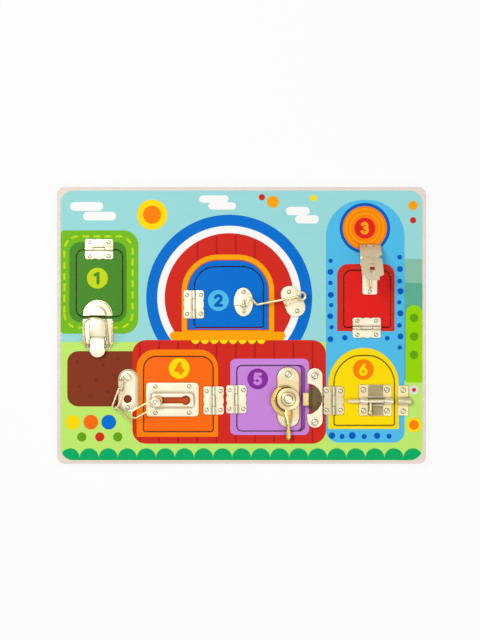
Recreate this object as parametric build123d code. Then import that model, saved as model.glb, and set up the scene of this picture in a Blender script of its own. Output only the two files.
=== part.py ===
from build123d import *
import math
import os

# Latch board: a 400 x 300 mm wooden board with six hinged doors and six latches.
# It lies on its back. +X is right, +Y is up the picture, +Z points out of the face.
# The origin is at the middle of the back face. All lengths are in millimetres.

# Board
board_width = 400.0
board_height = 300.0
back_thick = 5.0
front_thick = 6.0
board_corner = 8.0
board_edge_cut = 1.4
door_gap = 1.0
top = back_thick + front_thick

# General fits
seat_gap = 0.3
turn_clear = 0.06
cut_extra = 1.0

# Where each opening's middle lies, as shares of the board's width and height
middle_shares = {
    "door_1": (-0.385375, 0.152333),
    "door_2": (-0.03425, 0.102833),
    "door_3": (0.340875, 0.096),
    "door_4": (-0.171375, -0.2485),
    "door_5": (0.07925, -0.263833),
    "door_6": (0.332625, -0.235333),
}

# Door openings, their corners above and below, the height of a crowned top,
# and the hinge: its place along the edge from the opening's middle
openings = {
    "door_1": dict(width=51.1, height=73.8, upper_r=8.0, lower_r=8.0, crown=0.0, hinge_along=-0.25),
    "door_2": dict(width=76.0, height=67.1, upper_r=21.0, lower_r=3.0, crown=1.8, hinge_along=-8.15),
    "door_3": dict(width=51.5, height=62.8, upper_r=9.0, lower_r=3.0, crown=0.0, hinge_along=-0.65),
    "door_4": dict(width=76.5, height=82.7, upper_r=14.0, lower_r=3.0, crown=0.0, hinge_along=-6.95),
    "door_5": dict(width=74.6, height=72.1, upper_r=6.0, lower_r=6.0, crown=0.0, hinge_along=-1.05),
    "door_6": dict(width=66.5, height=76.8, upper_r=28.0, lower_r=3.0, crown=2.6, hinge_along=-11.0),
}
hinge_sides = {
    "door_1": "top", "door_2": "left", "door_3": "bottom", "door_4": "right", "door_5": "left", "door_6": "left",
}
sash_door_gap = 4.6

# Butt hinges: the pin runs along the long side, the leaves are scalloped
leaf_reach = 11.0
leaf_length = 30.5
leaf_thick = 1.0
leaf_corner = 2.6
scallop_depth = 0.7
scallop_share = 0.75
knuckle_r = 1.7
hinge_pin_r = 0.8
knuckle_gap = 0.3
middle_knuckle = 12.0
pin_overrun = 0.6

# How round things are made: the number of flat faces in a full turn, by size
wire_sides = 6
small_sides = 12
middle_sides = 16
large_sides = 28
corner_steps = 3
bend_steps = 3

# The sizes of each latch are measured from the middle of its door's opening

# Latch 1: spring toggle. The strike is on door 1, the base and the lever are on the board
toggle_x = -1.65
strike_r = 15.9
strike_low = -35.6
strike_straight = 1.6
strike_thick = 1.0
lip_width = 17.2
lip_length = 10.2
lip_rise = 3.0
lip_edge_cut = 1.2
base_width = 33.4
base_low = -71.6
base_high = -38.8
base_taper = 4.5
base_taper_length = 7.0
base_thick = 1.0
bridge_width = 17.8
bridge_low = -57.6
bridge_rise = 6.0
bridge_wall = 1.0
lever_pivot_y = -61.2
lever_pivot_rise = 3.9
bail_pivot_y = -68.2
bail_pivot_rise = 3.9
lever_width = 15.0
lever_wall = 0.9
lever_top_rise = 5.9
lever_start = 1.3
lever_end_y = -80.3
lever_end_r = 8.4
lever_flange_end_y = -73.7
lever_flange_low_rise = 1.7
ear_width = 0.9
ear_end_y = -63.6
toggle_pin_r = 0.9
bail_wire_r = 1.1
bail_half_width = 12.35
bail_top_y = -23.2
bail_bend_r = 1.4
bail_rest_angle = 48.0
spring_wire_r = 0.28
spring_coil_r = 1.75
spring_turns = 2.25
spring_pitch = 1.0
spring_steps = 10

# Latch 2: hook and eye. The hook turns on the staple of door 2
hook_plate_x = 15.8
hook_plate_y = -5.55
hook_plate_rx = 10.4
hook_plate_ry = 15.6
hook_plate_thick = 0.9
hook_staple_low_y = -16.45
hook_staple_high_y = -4.25
hook_staple_x = 16.2
staple_wire_r = 1.0
staple_bend_share = 2.0
hook_wire_r = 1.25
hook_bar_rise = 5.3
hook_ring_rise = 9.0
hook_eye_y = -9.65
hook_eye_gap = 0.35
hook_curl_x = 22.1
hook_curl_y = 0.75
hook_jog_x = 30.3
hook_jog_y = -8.55
hook_end_x = 74.3
hook_end_y = -0.05
hook_ring_r = 4.1
hook_ring_open = 34.0
hook_eye_open = 66.0
hex_share = math.cos(math.pi / 6)
hook_bend_r = 2.6
eye_upper_x = 65.7
eye_upper_y = 2.55
eye_upper_r = 9.4
eye_lower_x = 72.3
eye_lower_y = -11.05
eye_lower_r = 10.6
eye_staple_from_x = 61.1
eye_staple_from_y = -8.95
eye_staple_to_x = 77.3
eye_staple_to_y = 0.05
eye_staple_rise = 6.4

# Latch 3: hasp. The strap is hinged on the board, the staple is on door 3
hasp_x = 2.75
hasp_pin_y = 56.8
hasp_width = 23.3
hasp_knuckle_r = 2.0
hasp_pin_r = 1.0
hasp_leaf_thick = 1.0
hasp_leaf_width = 20.6
hasp_leaf_end_y = 34.6
hasp_knuckle_width = 7.0
strap_thick = 1.2
strap_neck_y = 37.2
strap_neck_width = 17.0
strap_notch_half = 3.4
strap_chamfer_y = 9.1
strap_shoulder_y = 5.4
strap_tab_width = 13.1
strap_tip_y = 0.7
strap_rest_angle = 47.0
strap_slot_length = 20.0
strap_slot_width = 5.2
strap_slot_y = 18.1
strap_cut_width = 8.6
strap_cut_y = 53.8
hasp_staple_leg = 6.0
hasp_staple_wire_r = 1.3
hasp_staple_rise = 9.6
hasp_plate_width = 16.0
hasp_plate_length = 27.0

# Latch 4: door chain. The track and knob are on door 4, the anchor is on the board
track_x = -6.45
track_y = -5.95
track_width = 57.1
track_height = 36.7
track_corner = 4.2
track_thick = 1.1
channel_x = -6.05
channel_y = -6.55
channel_width = 48.4
channel_height = 18.3
channel_rise = 4.2
channel_wall = 1.0
channel_slope = 2.4
slot_width = 6.6
slot_left = -22.45
keyhole_x = 8.15
keyhole_r = 5.1
knob_foot_r = 4.4
knob_foot_thick = 1.2
knob_stem_r = 2.8
knob_collar_r = 5.4
knob_collar_thick = 1.3
knob_neck_r = 1.6
knob_lean_x = -1.6
knob_lean_y = -2.0
knob_link_rise = 10.4
knob_head_rise = 11.7
knob_head_r = 5.6
knob_head_thick = 3.0
knob_dish_r = 3.4
knob_dish_depth = 0.7
knob_edge_cut = 0.8
knob_link_half_width = 4.2
knob_link_length = 25.0
knob_link_play = 0.6
knob_link_angle = 209.7
link_wire_r = 0.9
link_half_width = 2.9
link_play = 0.4
link_rise = 5.4
anchor_x = -54.15
anchor_width = 21.9
anchor_low = -19.25
anchor_high = 27.25
anchor_thick = 0.8
anchor_boss_inset = 3.0
anchor_boss_rise = 1.2
anchor_hole_y = -5.35
anchor_hole_r = 4.3
rivet_x = -54.85
rivet_y = 18.65
rivet_neck_r = 1.6
rivet_head_r = 3.9
rivet_head_low = 6.6
rivet_head_thick = 2.0
rivet_dome_share = 0.6

# Chain links from the rivet on: heading in degrees, distance between the end centres, standing on edge
chain_links = {
    "chain_link_1": dict(heading=205.0, length=5.2, on_edge=False),
    "chain_link_2": dict(heading=261.3, length=6.0, on_edge=True),
    "chain_link_3": dict(heading=249.8, length=17.0, on_edge=False),
    "chain_link_4": dict(heading=315.0, length=16.4, on_edge=True),
}

# Latch 5: crescent sash lock. The cam is on door 5, the keeper is on the board
sash_x = 18.9
sash_pivot_y = -0.65
sash_base_width = 24.3
sash_base_low = -31.45
sash_base_high = 34.05
sash_base_thick = 2.4
cam_disc_r = 13.0
cam_disc_low = 3.0
cam_disc_high = 6.4
cam_boss_r = 7.2
cam_boss_high = 7.6
cam_edge_cut = 0.8
crescent_outer_r = 18.7
crescent_high = 5.2
crescent_from = 72.0
crescent_to = 262.0
handle_root_half = 4.4
handle_waist_half = 1.5
handle_tip_half = 2.9
handle_waist_y = -28.85
handle_tip_y = -45.45
handle_tip_r = 2.2
handle_steps = 6
handle_low = 3.8
handle_high = 8.2
cam_rivet_r = 2.2
cam_rivet_head_r = 4.3
cam_rivet_head_thick = 1.6
keeper_x = 47.8
keeper_width = 16.6
keeper_low = -31.95
keeper_high = 32.85
keeper_thick = 2.2
keeper_hole_x = 38.7
keeper_hole_r = 16.6
keeper_hole_edge_x = 42.3
scoop_thick = 1.3
scoop_low_x = 47.9
scoop_low_rise = 0.4
scoop_right_x = 55.3
scoop_lip_x = 41.7
scoop_lip_end_x = 34.8
scoop_lip_rise = 5.7
scoop_lip_width = 14.1

# Latch 6: barrel bolt. The bolt is on door 6, its keeper is on the board
bolt_plate_x = 11.85
bolt_plate_y = -10.6
bolt_plate_width = 35.4
bolt_plate_height = 33.6
bolt_plate_thick = 1.0
bolt_plate_corner = 1.6
bolt_axis_y = -11.4
bolt_axis_rise = 3.6
bolt_r = 2.1
bolt_left = -18.25
bolt_right = 31.55
saddle_r = 3.2
saddle_left = (-4.65, 3.55)
saddle_right = (21.75, 30.95)
bolt_knob_x = 6.35
bolt_knob_r = 1.5
bolt_knob_length = 12.6
bolt_knob_ball_r = 2.3
bolt_end_cut = 0.7
bolt_keeper_left = 36.35
bolt_keeper_right = 47.85
bolt_keeper_high = 5.4
bolt_keeper_low = -27.2
bolt_loop_inner_r = 2.9
bolt_loop_wall = 1.0
bolt_loop_right = 50.15

base_align = (Align.CENTER, Align.CENTER, Align.MIN)


def save(node, shape):
    shape.label = node
    export_step(shape, f"parts/{node}.step")


# Outlines


def polygon(points):
    return make_face(Polyline(*points, close=True))


def arc_points(x, y, r, start, stop, steps):
    """Points on an arc from one angle to another, in degrees."""
    turns = [math.radians(start + (stop - start) * k / steps) for k in range(steps + 1)]
    return [(x + r * math.cos(t), y + r * math.sin(t)) for t in turns]


def curve_points(curve, steps):
    places = [curve @ (k / steps) for k in range(steps + 1)]
    return [(p.X, p.Y) for p in places]


def rounded(corners):
    """An outline from corners (x, y, radius), each rounded in a few short steps."""
    points = []
    count = len(corners)
    for i in range(count):
        x, y, r = corners[i]
        corner = Vector(x, y)
        before = (Vector(corners[i - 1][0], corners[i - 1][1]) - corner).normalized()
        after = (Vector(corners[(i + 1) % count][0], corners[(i + 1) % count][1]) - corner).normalized()
        if r == 0:
            points.append((x, y))
            continue
        half = math.acos(before.dot(after)) / 2
        centre = corner + (before + after).normalized() * (r / math.sin(half))
        start = corner + before * (r / math.tan(half)) - centre
        stop = corner + after * (r / math.tan(half)) - centre
        first = math.degrees(math.atan2(start.Y, start.X))
        sweep_angle = (math.degrees(math.atan2(stop.Y, stop.X)) - first + 180) % 360 - 180
        points += arc_points(centre.X, centre.Y, r, first, first + sweep_angle, corner_steps)
    return polygon(points)


def oblong(x, y, width, height, r):
    """A rectangle with rounded corners."""
    left, right = x - width / 2, x + width / 2
    low, high = y - height / 2, y + height / 2
    return rounded([(left, low, r), (right, low, r), (right, high, r), (left, high, r)])


def round_shape(x, y, r, sides):
    return Pos(x, y) * RegularPolygon(r, sides)


def stadium(x, low_y, high_y, width):
    """An upright oblong with half-round ends."""
    r = width / 2
    half = large_sides // 2
    return polygon(
        arc_points(x, high_y - r, r, 0, 180, half) + arc_points(x, low_y + r, r, 180, 360, half)
    )


# Solids


def slab(sketch, low, thick):
    """A flat plate: a sketch in XY raised from a height by its thickness."""
    return extrude(Plane.XY.offset(low) * sketch, thick)


def post(x, y, r, low, high, sides):
    return slab(round_shape(x, y, r, sides), low, high - low)


def button(x, y, r, low, high, edge_cut, sides):
    """A round head with its upper edge cut back."""
    body = post(x, y, r, low, high - edge_cut, sides)
    rim = Plane.XY.offset(high - edge_cut) * round_shape(x, y, r, sides)
    face = Plane.XY.offset(high) * round_shape(x, y, r - edge_cut, sides)
    return body + loft([rim, face])


def round_post(x, y, r, low, high):
    """A true round for running fits, upright."""
    return Pos(x, y, low) * Cylinder(r, high - low, align=base_align)


def rod(x, y, z, r, length, axis):
    """A round rod centred on a place, along X or Y."""
    turn = Rot(0, 90, 0) if axis == "x" else Rot(90, 0, 0)
    return Pos(x, y, z) * turn * Cylinder(r, length)


def tube(points, r, sides, closed=False):
    """A bent wire: straight steps with flat sides, mitred where they meet."""
    count = len(points)
    places = [Vector(*p) for p in points]
    steps = count if closed else count - 1
    runs = [(places[(i + 1) % count] - places[i]).normalized() for i in range(steps)]
    first = runs[-1] if closed else runs[0]
    helper = Vector(0, 0, 1) if abs(first.Z) < math.sqrt(0.5) else Vector(1, 0, 0)
    across = first.cross(helper).normalized()
    upright = first.cross(across)
    turns = [2 * math.pi * (k + 1 / 2) / sides for k in range(sides)]
    offsets = [(across * math.cos(t) + upright * math.sin(t)) * r for t in turns]
    rings = []
    for i in range(count):
        arriving = runs[i - 1] if closed or i > 0 else runs[0]
        leaving = runs[i] if i < steps else runs[-1]
        mitre = arriving + leaving
        ring = [o - arriving * (o.dot(mitre) / arriving.dot(mitre)) for o in offsets]
        offsets = [o - leaving * o.dot(leaving) for o in ring]
        rings.append([places[i] + o for o in ring])
    if closed:
        rings.append(rings[0])
    faces = []
    for near, far in zip(rings, rings[1:]):
        for k in range(sides):
            n = (k + 1) % sides
            faces.append(Face(Wire.make_polygon([near[k], near[n], far[n], far[k]], close=True)))
    if not closed:
        faces.append(Face(Wire.make_polygon(rings[0][::-1], close=True)))
        faces.append(Face(Wire.make_polygon(rings[-1], close=True)))
    return Solid(Shell(faces))


def bend(points, radius):
    """Round the inner corners of a path in space, in a few short steps."""
    places = [Vector(*p) for p in points]
    path = [places[0]]
    for before, corner, after in zip(places, places[1:], places[2:]):
        back = (before - corner).normalized()
        on = (after - corner).normalized()
        half = math.acos(back.dot(on)) / 2
        centre = corner + (back + on).normalized() * (radius / math.sin(half))
        start = corner + back * (radius / math.tan(half)) - centre
        stop = corner + on * (radius / math.tan(half)) - centre
        sweep_angle = math.pi - 2 * half
        for k in range(bend_steps + 1):
            share = k / bend_steps
            a = math.sin((1 - share) * sweep_angle) / math.sin(sweep_angle)
            b = math.sin(share * sweep_angle) / math.sin(sweep_angle)
            path.append(centre + start * a + stop * b)
    path.append(places[-1])
    return [(p.X, p.Y, p.Z) for p in path]


# Wood


def at_door(door):
    """The place of a door's middle, on the board's back."""
    x_share, y_share = middle_shares[door]
    return Pos(board_width * x_share, board_height * y_share, 0)


def door_outline(door, left_gap, right_gap, end_gap):
    """A door's shape about its middle: straight sides, round corners, a top that may be crowned."""
    size = openings[door]
    left = left_gap - size["width"] / 2
    right = size["width"] / 2 - right_gap
    low = end_gap - size["height"] / 2
    high = size["height"] / 2 - end_gap
    shoulder = high - size["crown"]
    sides = [Line((left, shoulder), (left, low)), Line((left, low), (right, low)), Line((right, low), (right, shoulder))]
    if size["crown"] > 0:
        roof = ThreePointArc((right, shoulder), ((left + right) / 2, high), (left, shoulder))
    else:
        roof = Line((right, high), (left, high))
    face = make_face([*sides, roof])
    face = fillet([v for v in face.vertices() if v.Y > 0], size["upper_r"] - end_gap)
    return fillet([v for v in face.vertices() if abs(v.Y - low) < turn_clear], size["lower_r"] - end_gap)


def door_sketch(door):
    """The door fills its opening but for the saw gap, wider beside the sash lock."""
    return door_outline(door, door_gap, sash_door_gap if door == "door_5" else door_gap, door_gap)


def make_back_panel():
    panel = slab(RectangleRounded(board_width, board_height, board_corner), 0, back_thick)
    return chamfer(panel.edges().group_by(Axis.Z)[0], board_edge_cut)


def make_front_panel():
    panel = slab(RectangleRounded(board_width, board_height, board_corner), back_thick, front_thick)
    panel = chamfer(panel.edges().group_by(Axis.Z)[-1], board_edge_cut)
    for door in openings:
        hole = slab(door_outline(door, 0, 0, 0), back_thick - cut_extra, front_thick + 2 * cut_extra)
        panel -= at_door(door) * hole
    return panel


def make_door(door):
    return at_door(door) * slab(door_sketch(door), back_thick + seat_gap, front_thick - seat_gap)


# Hinges, first in their own frame: pin along Y at x = 0, door towards +X, face of the wood at z = 0


def leaf_plate():
    """One leaf lying on the wood, its outer edge cut in shallow scallops."""
    half = leaf_length / 2
    inner = knuckle_r + knuckle_gap
    tongue = leaf_length / 3
    dip = leaf_reach - scallop_depth
    scallop = [(leaf_reach, tongue / 2, 0), (dip, tongue * scallop_share, 0), (leaf_reach, tongue, 0)]
    lower = [(x, -y, r) for x, y, r in reversed(scallop)]
    corners = [(inner, -half, 0), (leaf_reach, -half, leaf_corner), *lower, *scallop]
    corners += [(leaf_reach, half, leaf_corner), (inner, half, 0)]
    return slab(rounded(corners), 0, leaf_thick)


def knuckle(low_y, high_y):
    """A stretch of barrel round the pin, with the strip that joins it to its leaf."""
    length = high_y - low_y
    middle_y = (low_y + high_y) / 2
    section = Pos(0, knuckle_r) * RegularPolygon(knuckle_r, small_sides)
    reach = knuckle_r + knuckle_gap + turn_clear
    section += Pos(reach / 2, leaf_thick / 2) * Rectangle(reach, leaf_thick)
    barrel = extrude(Plane.XZ.offset(-high_y) * section, length)
    return barrel - rod(0, middle_y, knuckle_r, hinge_pin_r + turn_clear, length + cut_extra, "y")


def hinge_leaves():
    half = leaf_length / 2
    split = middle_knuckle / 2
    door_leaf = leaf_plate() + knuckle(-split, split)
    board_leaf = leaf_plate() + knuckle(split + knuckle_gap, half) + knuckle(-half, -split - knuckle_gap)
    return mirror(board_leaf, about=Plane.YZ), door_leaf


def hinge_pin():
    return rod(0, 0, knuckle_r, hinge_pin_r, leaf_length + 2 * pin_overrun, "y")


def hinge_place(door):
    """Where a hinge's own frame lies on the board: on the opening's edge, turned about Z."""
    along = openings[door]["hinge_along"]
    half_width = openings[door]["width"] / 2
    half_height = openings[door]["height"] / 2
    sides = {
        "left": Pos(-half_width, along, top),
        "right": Pos(half_width, along, top) * Rot(0, 0, 180),
        "top": Pos(along, half_height, top) * Rot(0, 0, -90),
        "bottom": Pos(along, -half_height, top) * Rot(0, 0, 90),
    }
    return at_door(door) * sides[hinge_sides[door]]


# Latch 1: spring toggle


def make_strike():
    """A half-round plate with a raised lip that the bail hooks behind."""
    arc_y = strike_low + strike_straight
    half = large_sides // 2
    outline = arc_points(toggle_x, arc_y, strike_r, 0, 180, half)
    outline += [(toggle_x - strike_r, strike_low), (toggle_x + strike_r, strike_low)]
    plate = slab(polygon(outline), top, strike_thick)
    lip_r = lip_width / 2
    lip_arc_y = strike_low + lip_length - lip_r

    def lip(inset):
        points = arc_points(toggle_x, lip_arc_y, lip_r - inset, 0, 180, half)
        return polygon(points + [(toggle_x - lip_r + inset, strike_low), (toggle_x + lip_r - inset, strike_low)])

    boss = slab(lip(0), top, strike_thick + lip_rise - lip_edge_cut)
    crown = loft([
        Plane.XY.offset(top + strike_thick + lip_rise - lip_edge_cut) * lip(0),
        Plane.XY.offset(top + strike_thick + lip_rise) * lip(lip_edge_cut),
    ])
    return plate + boss + crown


def make_toggle_base():
    """The stamped base: a tapered plate, a raised bridge and two ears for the lever's pin."""
    half = base_width / 2
    narrow = half - base_taper
    turn_y = base_low + base_taper_length
    r = base_taper / 2
    corners = [
        (-half, base_high, r), (-half, turn_y, r), (-narrow, base_low, r),
        (narrow, base_low, r), (half, turn_y, r), (half, base_high, r),
    ]
    plate = slab(Pos(toggle_x, 0) * rounded(corners), top, base_thick)
    side = bridge_width / 2
    inside = side - bridge_wall
    ceiling = bridge_rise - bridge_wall
    section = polygon([
        (-side, 0), (-side, bridge_rise - bridge_wall), (-inside, bridge_rise), (inside, bridge_rise),
        (side, bridge_rise - bridge_wall), (side, 0), (inside, 0), (inside, ceiling), (-inside, ceiling),
        (-inside, 0),
    ])
    bridge = Pos(toggle_x, 0, top) * extrude(Plane.XZ.offset(-base_high) * section, base_high - bridge_low)
    base = plate + bridge
    ear_length = bridge_low - ear_end_y + bridge_wall
    for sign in (-1, 1):
        place = Pos(toggle_x + sign * (side - bridge_wall / 2), bridge_low + bridge_wall - ear_length / 2, top)
        base += place * Box(bridge_wall, ear_length, ceiling, align=base_align)
    return base - toggle_pin(turn_clear, bridge_width + 2 * cut_extra)


def toggle_pin(extra, length):
    return rod(toggle_x, lever_pivot_y, top + lever_pivot_rise, toggle_pin_r + extra, length, "x")


def make_lever():
    """The lever, closed: a channel round its pin and the bail's ends, with a rounded finger tab."""
    start_y = lever_pivot_y + lever_start
    half = lever_width / 2
    arc_y = lever_end_y + lever_end_r
    tab = arc_points(0, arc_y, lever_end_r, 180, 360, small_sides)
    flare_y = arc_y + lever_end_r - half
    outline = [(half, flare_y), (half, start_y), (-half, start_y), (-half, flare_y), *tab]
    low = top + lever_top_rise - lever_wall
    lever = slab(Pos(toggle_x, 0) * polygon(outline), low, lever_wall)
    flange_rise = lever_top_rise - lever_flange_low_rise
    flange_length = start_y - lever_flange_end_y
    for side in (-1, 1):
        x = toggle_x + side * (half - lever_wall / 2)
        place = Pos(x, start_y - flange_length / 2, top + lever_flange_low_rise)
        lever += place * Box(lever_wall, flange_length, flange_rise, align=base_align)
    lever -= toggle_pin(turn_clear, bridge_width)
    bail_z = top + bail_pivot_rise
    return lever - rod(toggle_x, bail_pivot_y, bail_z, bail_wire_r + turn_clear, bridge_width, "x")


def make_bail():
    """The wire bail, closed: two legs and a round top, its ends turned into the lever."""
    half = bail_half_width
    arc_y = bail_top_y - half
    end_x = lever_width / 2 - lever_wall - seat_gap
    bow = [(x, y, 0) for x, y in arc_points(0, arc_y, half, 0, 180, middle_sides)]
    corner = [(end_x, bail_pivot_y, 0), (half, bail_pivot_y, 0), (half, arc_y, 0)]
    right = bend(corner, bail_bend_r)[:-1]
    left = [(-x, y, z) for x, y, z in reversed(right)]
    return Pos(toggle_x, 0, top + bail_pivot_rise) * tube([*right, *bow, *left], bail_wire_r, wire_sides)


def spring_points(side):
    """The middle of a spring's wire, between the lever and the bail's leg."""
    count = round(spring_turns * spring_steps)
    inner = lever_width / 2 + seat_gap + spring_wire_r
    points = []
    for k in range(count + 1):
        turn = 2 * math.pi * k / spring_steps
        x = side * (inner + spring_pitch * k / spring_steps)
        points.append((x, spring_coil_r * math.cos(turn), spring_coil_r * math.sin(turn)))
    return points


def make_spring(side):
    """A small coil round the turned-in end of the bail."""
    place = Pos(toggle_x, bail_pivot_y, top + bail_pivot_rise)
    return place * tube(spring_points(side), spring_wire_r, wire_sides)


def least_spring_gap():
    """The least gap between a spring's turns, measured on points at least half a turn apart."""
    apart = spring_steps // 2
    places = [Vector(*p) for p in spring_points(1)]
    return min((a - b).length for i, a in enumerate(places) for b in places[i + apart:]) - 2 * spring_wire_r


def bail_rest(shape):
    """Lift a piece from the closed place to its rest, about the bail's own ends."""
    axis = Axis((0, bail_pivot_y, top + bail_pivot_rise), (1, 0, 0))
    return shape.rotate(axis, bail_rest_angle)


# Latch 2: hook and eye


def staple(first_leg, second_leg, bar_z, r):
    """A wire staple between two places, its legs standing on the wood."""
    points = [(*first_leg, top), (*first_leg, bar_z), (*second_leg, bar_z), (*second_leg, top)]
    return tube(bend(points, staple_bend_share * r), r, wire_sides)


def leg_holes(plate, places, r):
    """Holes where a staple's legs pass through its plate."""
    for x, y in places:
        plate -= post(x, y, r + turn_clear, top - cut_extra, top + cut_extra, wire_sides)
    return plate


def hook_staple_legs():
    return [(hook_staple_x, hook_staple_low_y), (hook_staple_x, hook_staple_high_y)]


def eye_staple_legs():
    return [(eye_staple_from_x, eye_staple_from_y), (eye_staple_to_x, eye_staple_to_y)]


def make_hook_plate():
    """An oval plate with a small notch at the middle of each side."""
    turns = arc_points(0, 0, 1, 0, 360, large_sides)[:-1]
    outline = polygon([(hook_plate_x + x * hook_plate_rx, hook_plate_y + y * hook_plate_ry) for x, y in turns])
    plate = slab(outline, top, hook_plate_thick)
    return leg_holes(plate, hook_staple_legs(), staple_wire_r / hex_share)


def make_hook():
    """The hook: an eye round the staple's bar, a bent shank and a ring at the far end."""
    bar = top + hook_bar_rise
    eye_r = staple_wire_r + hook_eye_gap + hook_wire_r
    ring_z = top + hook_ring_rise
    eye = [
        (hook_staple_x + x, hook_eye_y, bar + z)
        for x, z in arc_points(0, 0, eye_r, hook_eye_open, 360, small_sides)
    ]
    start_x = hook_staple_x + eye_r
    reach = hook_end_x - start_x

    def height(x):
        return bar + (ring_z - bar) * (x - start_x) / reach

    shank = [
        (start_x, hook_eye_y, bar),
        (hook_curl_x, hook_curl_y, height(hook_curl_x)),
        (hook_jog_x, hook_jog_y, height(hook_jog_x)),
        (hook_end_x, hook_end_y, ring_z),
    ]
    run = math.degrees(math.atan2(hook_end_y - hook_jog_y, hook_end_x - hook_jog_x))
    ring_x, ring_y = ahead(hook_end_x, hook_end_y, run, hook_ring_r)
    ring = [
        (x, y, ring_z)
        for x, y in arc_points(ring_x, ring_y, hook_ring_r, run - 180, run + 180 - hook_ring_open, middle_sides)
    ]
    path = [*eye[:-1], *bend(shank, hook_bend_r)[:-1], *ring]
    return tube(path, hook_wire_r, wire_sides)


def make_eye_plate():
    """The board's plate: two round lobes joined by their outer tangents."""
    run = math.degrees(math.atan2(eye_lower_y - eye_upper_y, eye_lower_x - eye_upper_x))
    half = large_sides // 2
    lower = arc_points(eye_lower_x, eye_lower_y, eye_lower_r, run - 90, run + 90, half)
    upper = arc_points(eye_upper_x, eye_upper_y, eye_upper_r, run + 90, run + 270, half)
    plate = slab(polygon(lower + upper), top, hook_plate_thick)
    return leg_holes(plate, eye_staple_legs(), staple_wire_r / hex_share)


# Latch 3: hasp


def hasp_barrel(low_x, high_x):
    """A stretch of the hasp's barrel, with the hole for its pin."""
    section = RegularPolygon(hasp_knuckle_r, small_sides)
    low = hasp_x + low_x
    barrel = extrude(Plane.YZ.offset(low) * Pos(hasp_pin_y, top + hasp_knuckle_r) * section, high_x - low_x)
    return barrel - hasp_rod(hasp_pin_r + turn_clear, hasp_width + cut_extra)


def hasp_rod(r, length):
    return rod(hasp_x, hasp_pin_y, top + hasp_knuckle_r, r, length, "x")


def make_hasp_leaf():
    """The fixed leaf that the strap covers, with the middle knuckle."""
    inner_y = hasp_pin_y - hasp_knuckle_r - knuckle_gap
    middle_y = (inner_y + hasp_leaf_end_y) / 2
    plate = slab(
        oblong(hasp_x, middle_y, hasp_leaf_width, inner_y - hasp_leaf_end_y, leaf_corner), top, hasp_leaf_thick
    )
    tongue_low = inner_y - knuckle_gap
    tongue = Pos(hasp_x, (hasp_pin_y + tongue_low) / 2, top)
    plate += tongue * Box(hasp_knuckle_width, hasp_pin_y - tongue_low, hasp_leaf_thick, align=base_align)
    half = hasp_knuckle_width / 2
    return plate + hasp_barrel(-half, half) - hasp_rod(hasp_pin_r + turn_clear, hasp_width)


def make_strap():
    """The swinging strap, closed: necked, slotted and narrowed to a lifting tab."""
    half = hasp_width / 2
    neck = strap_neck_width / 2
    tab = strap_tab_width / 2
    notch_half = strap_notch_half
    notch_r = (notch_half**2 + (half - neck) ** 2) / (2 * (half - neck))
    notch_angle = math.degrees(math.asin(notch_half / notch_r))
    notch_x = neck + notch_r
    notch = arc_points(notch_x, strap_neck_y, notch_r, 180 - notch_angle, 180 + notch_angle, bend_steps)
    side = [(half, hasp_pin_y), *notch, (half, strap_chamfer_y), (tab, strap_shoulder_y), (tab, strap_tip_y)]
    mirrored = [(-x, y) for x, y in reversed(side)]
    sketch = Pos(hasp_x, 0) * polygon(side + mirrored)
    slot_r = strap_slot_width / 2
    reach = strap_slot_length / 2 - slot_r
    slot = arc_points(hasp_x, strap_slot_y + reach, slot_r, 0, 180, wire_sides)
    slot += arc_points(hasp_x, strap_slot_y - reach, slot_r, 180, 360, wire_sides)
    sketch -= polygon(slot)
    cut_height = hasp_pin_y - strap_cut_y
    sketch -= Pos(hasp_x, strap_cut_y + cut_height / 2) * Rectangle(strap_cut_width, cut_height)
    plate = slab(sketch, top + 2 * hasp_knuckle_r - strap_thick, strap_thick)
    inner = hasp_knuckle_width / 2 + knuckle_gap
    strap = plate + hasp_barrel(inner, half) + hasp_barrel(-half, -inner)
    strap -= hasp_rod(hasp_pin_r + turn_clear, hasp_width + cut_extra)
    axis = Axis((0, hasp_pin_y, top + hasp_knuckle_r), (-1, 0, 0))
    return strap.rotate(axis, strap_rest_angle)


def hasp_staple_legs():
    return [(hasp_x, strap_slot_y + side * hasp_staple_leg) for side in (-1, 1)]


def make_hasp_plate():
    sketch = oblong(hasp_x, strap_slot_y, hasp_plate_width, hasp_plate_length, leaf_corner)
    return leg_holes(slab(sketch, top, hasp_leaf_thick), hasp_staple_legs(), hasp_staple_wire_r / hex_share)


# Latch 4: door chain


def make_track():
    """A plate with a raised channel: the knob's foot runs inside, its stem in the slot."""
    plate = slab(oblong(track_x, track_y, track_width, track_height, track_corner), top, track_thick)

    def channel(inset, corner_r):
        width = channel_width - 2 * inset
        return oblong(channel_x, channel_y, width, channel_height - 2 * inset, corner_r)

    outer = loft([
        Plane.XY.offset(top) * channel(0, track_corner),
        Plane.XY.offset(top + channel_rise) * channel(channel_slope, track_corner - channel_wall),
    ])
    inner = slab(
        channel(channel_slope + channel_wall, channel_wall), top - cut_extra, channel_rise - channel_wall + cut_extra
    )
    r = slot_width / 2
    slot = arc_points(slot_left, channel_y, r, 90, 270, small_sides // 2)
    half_mouth = 180 - math.degrees(math.asin(r / keyhole_r))
    slot += arc_points(keyhole_x, channel_y, keyhole_r, -half_mouth, half_mouth, middle_sides)
    track = plate + outer - inner
    return track - slab(polygon(slot), top - cut_extra, channel_rise + 2 * cut_extra)


def knob_point(rise):
    """The knob leans: its axis at a height over the face of the door."""
    low = channel_rise + seat_gap + knob_collar_thick
    share = (rise - low) / (knob_head_rise - low)
    return (slot_left + knob_lean_x * share, channel_y + knob_lean_y * share, top + rise)


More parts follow.
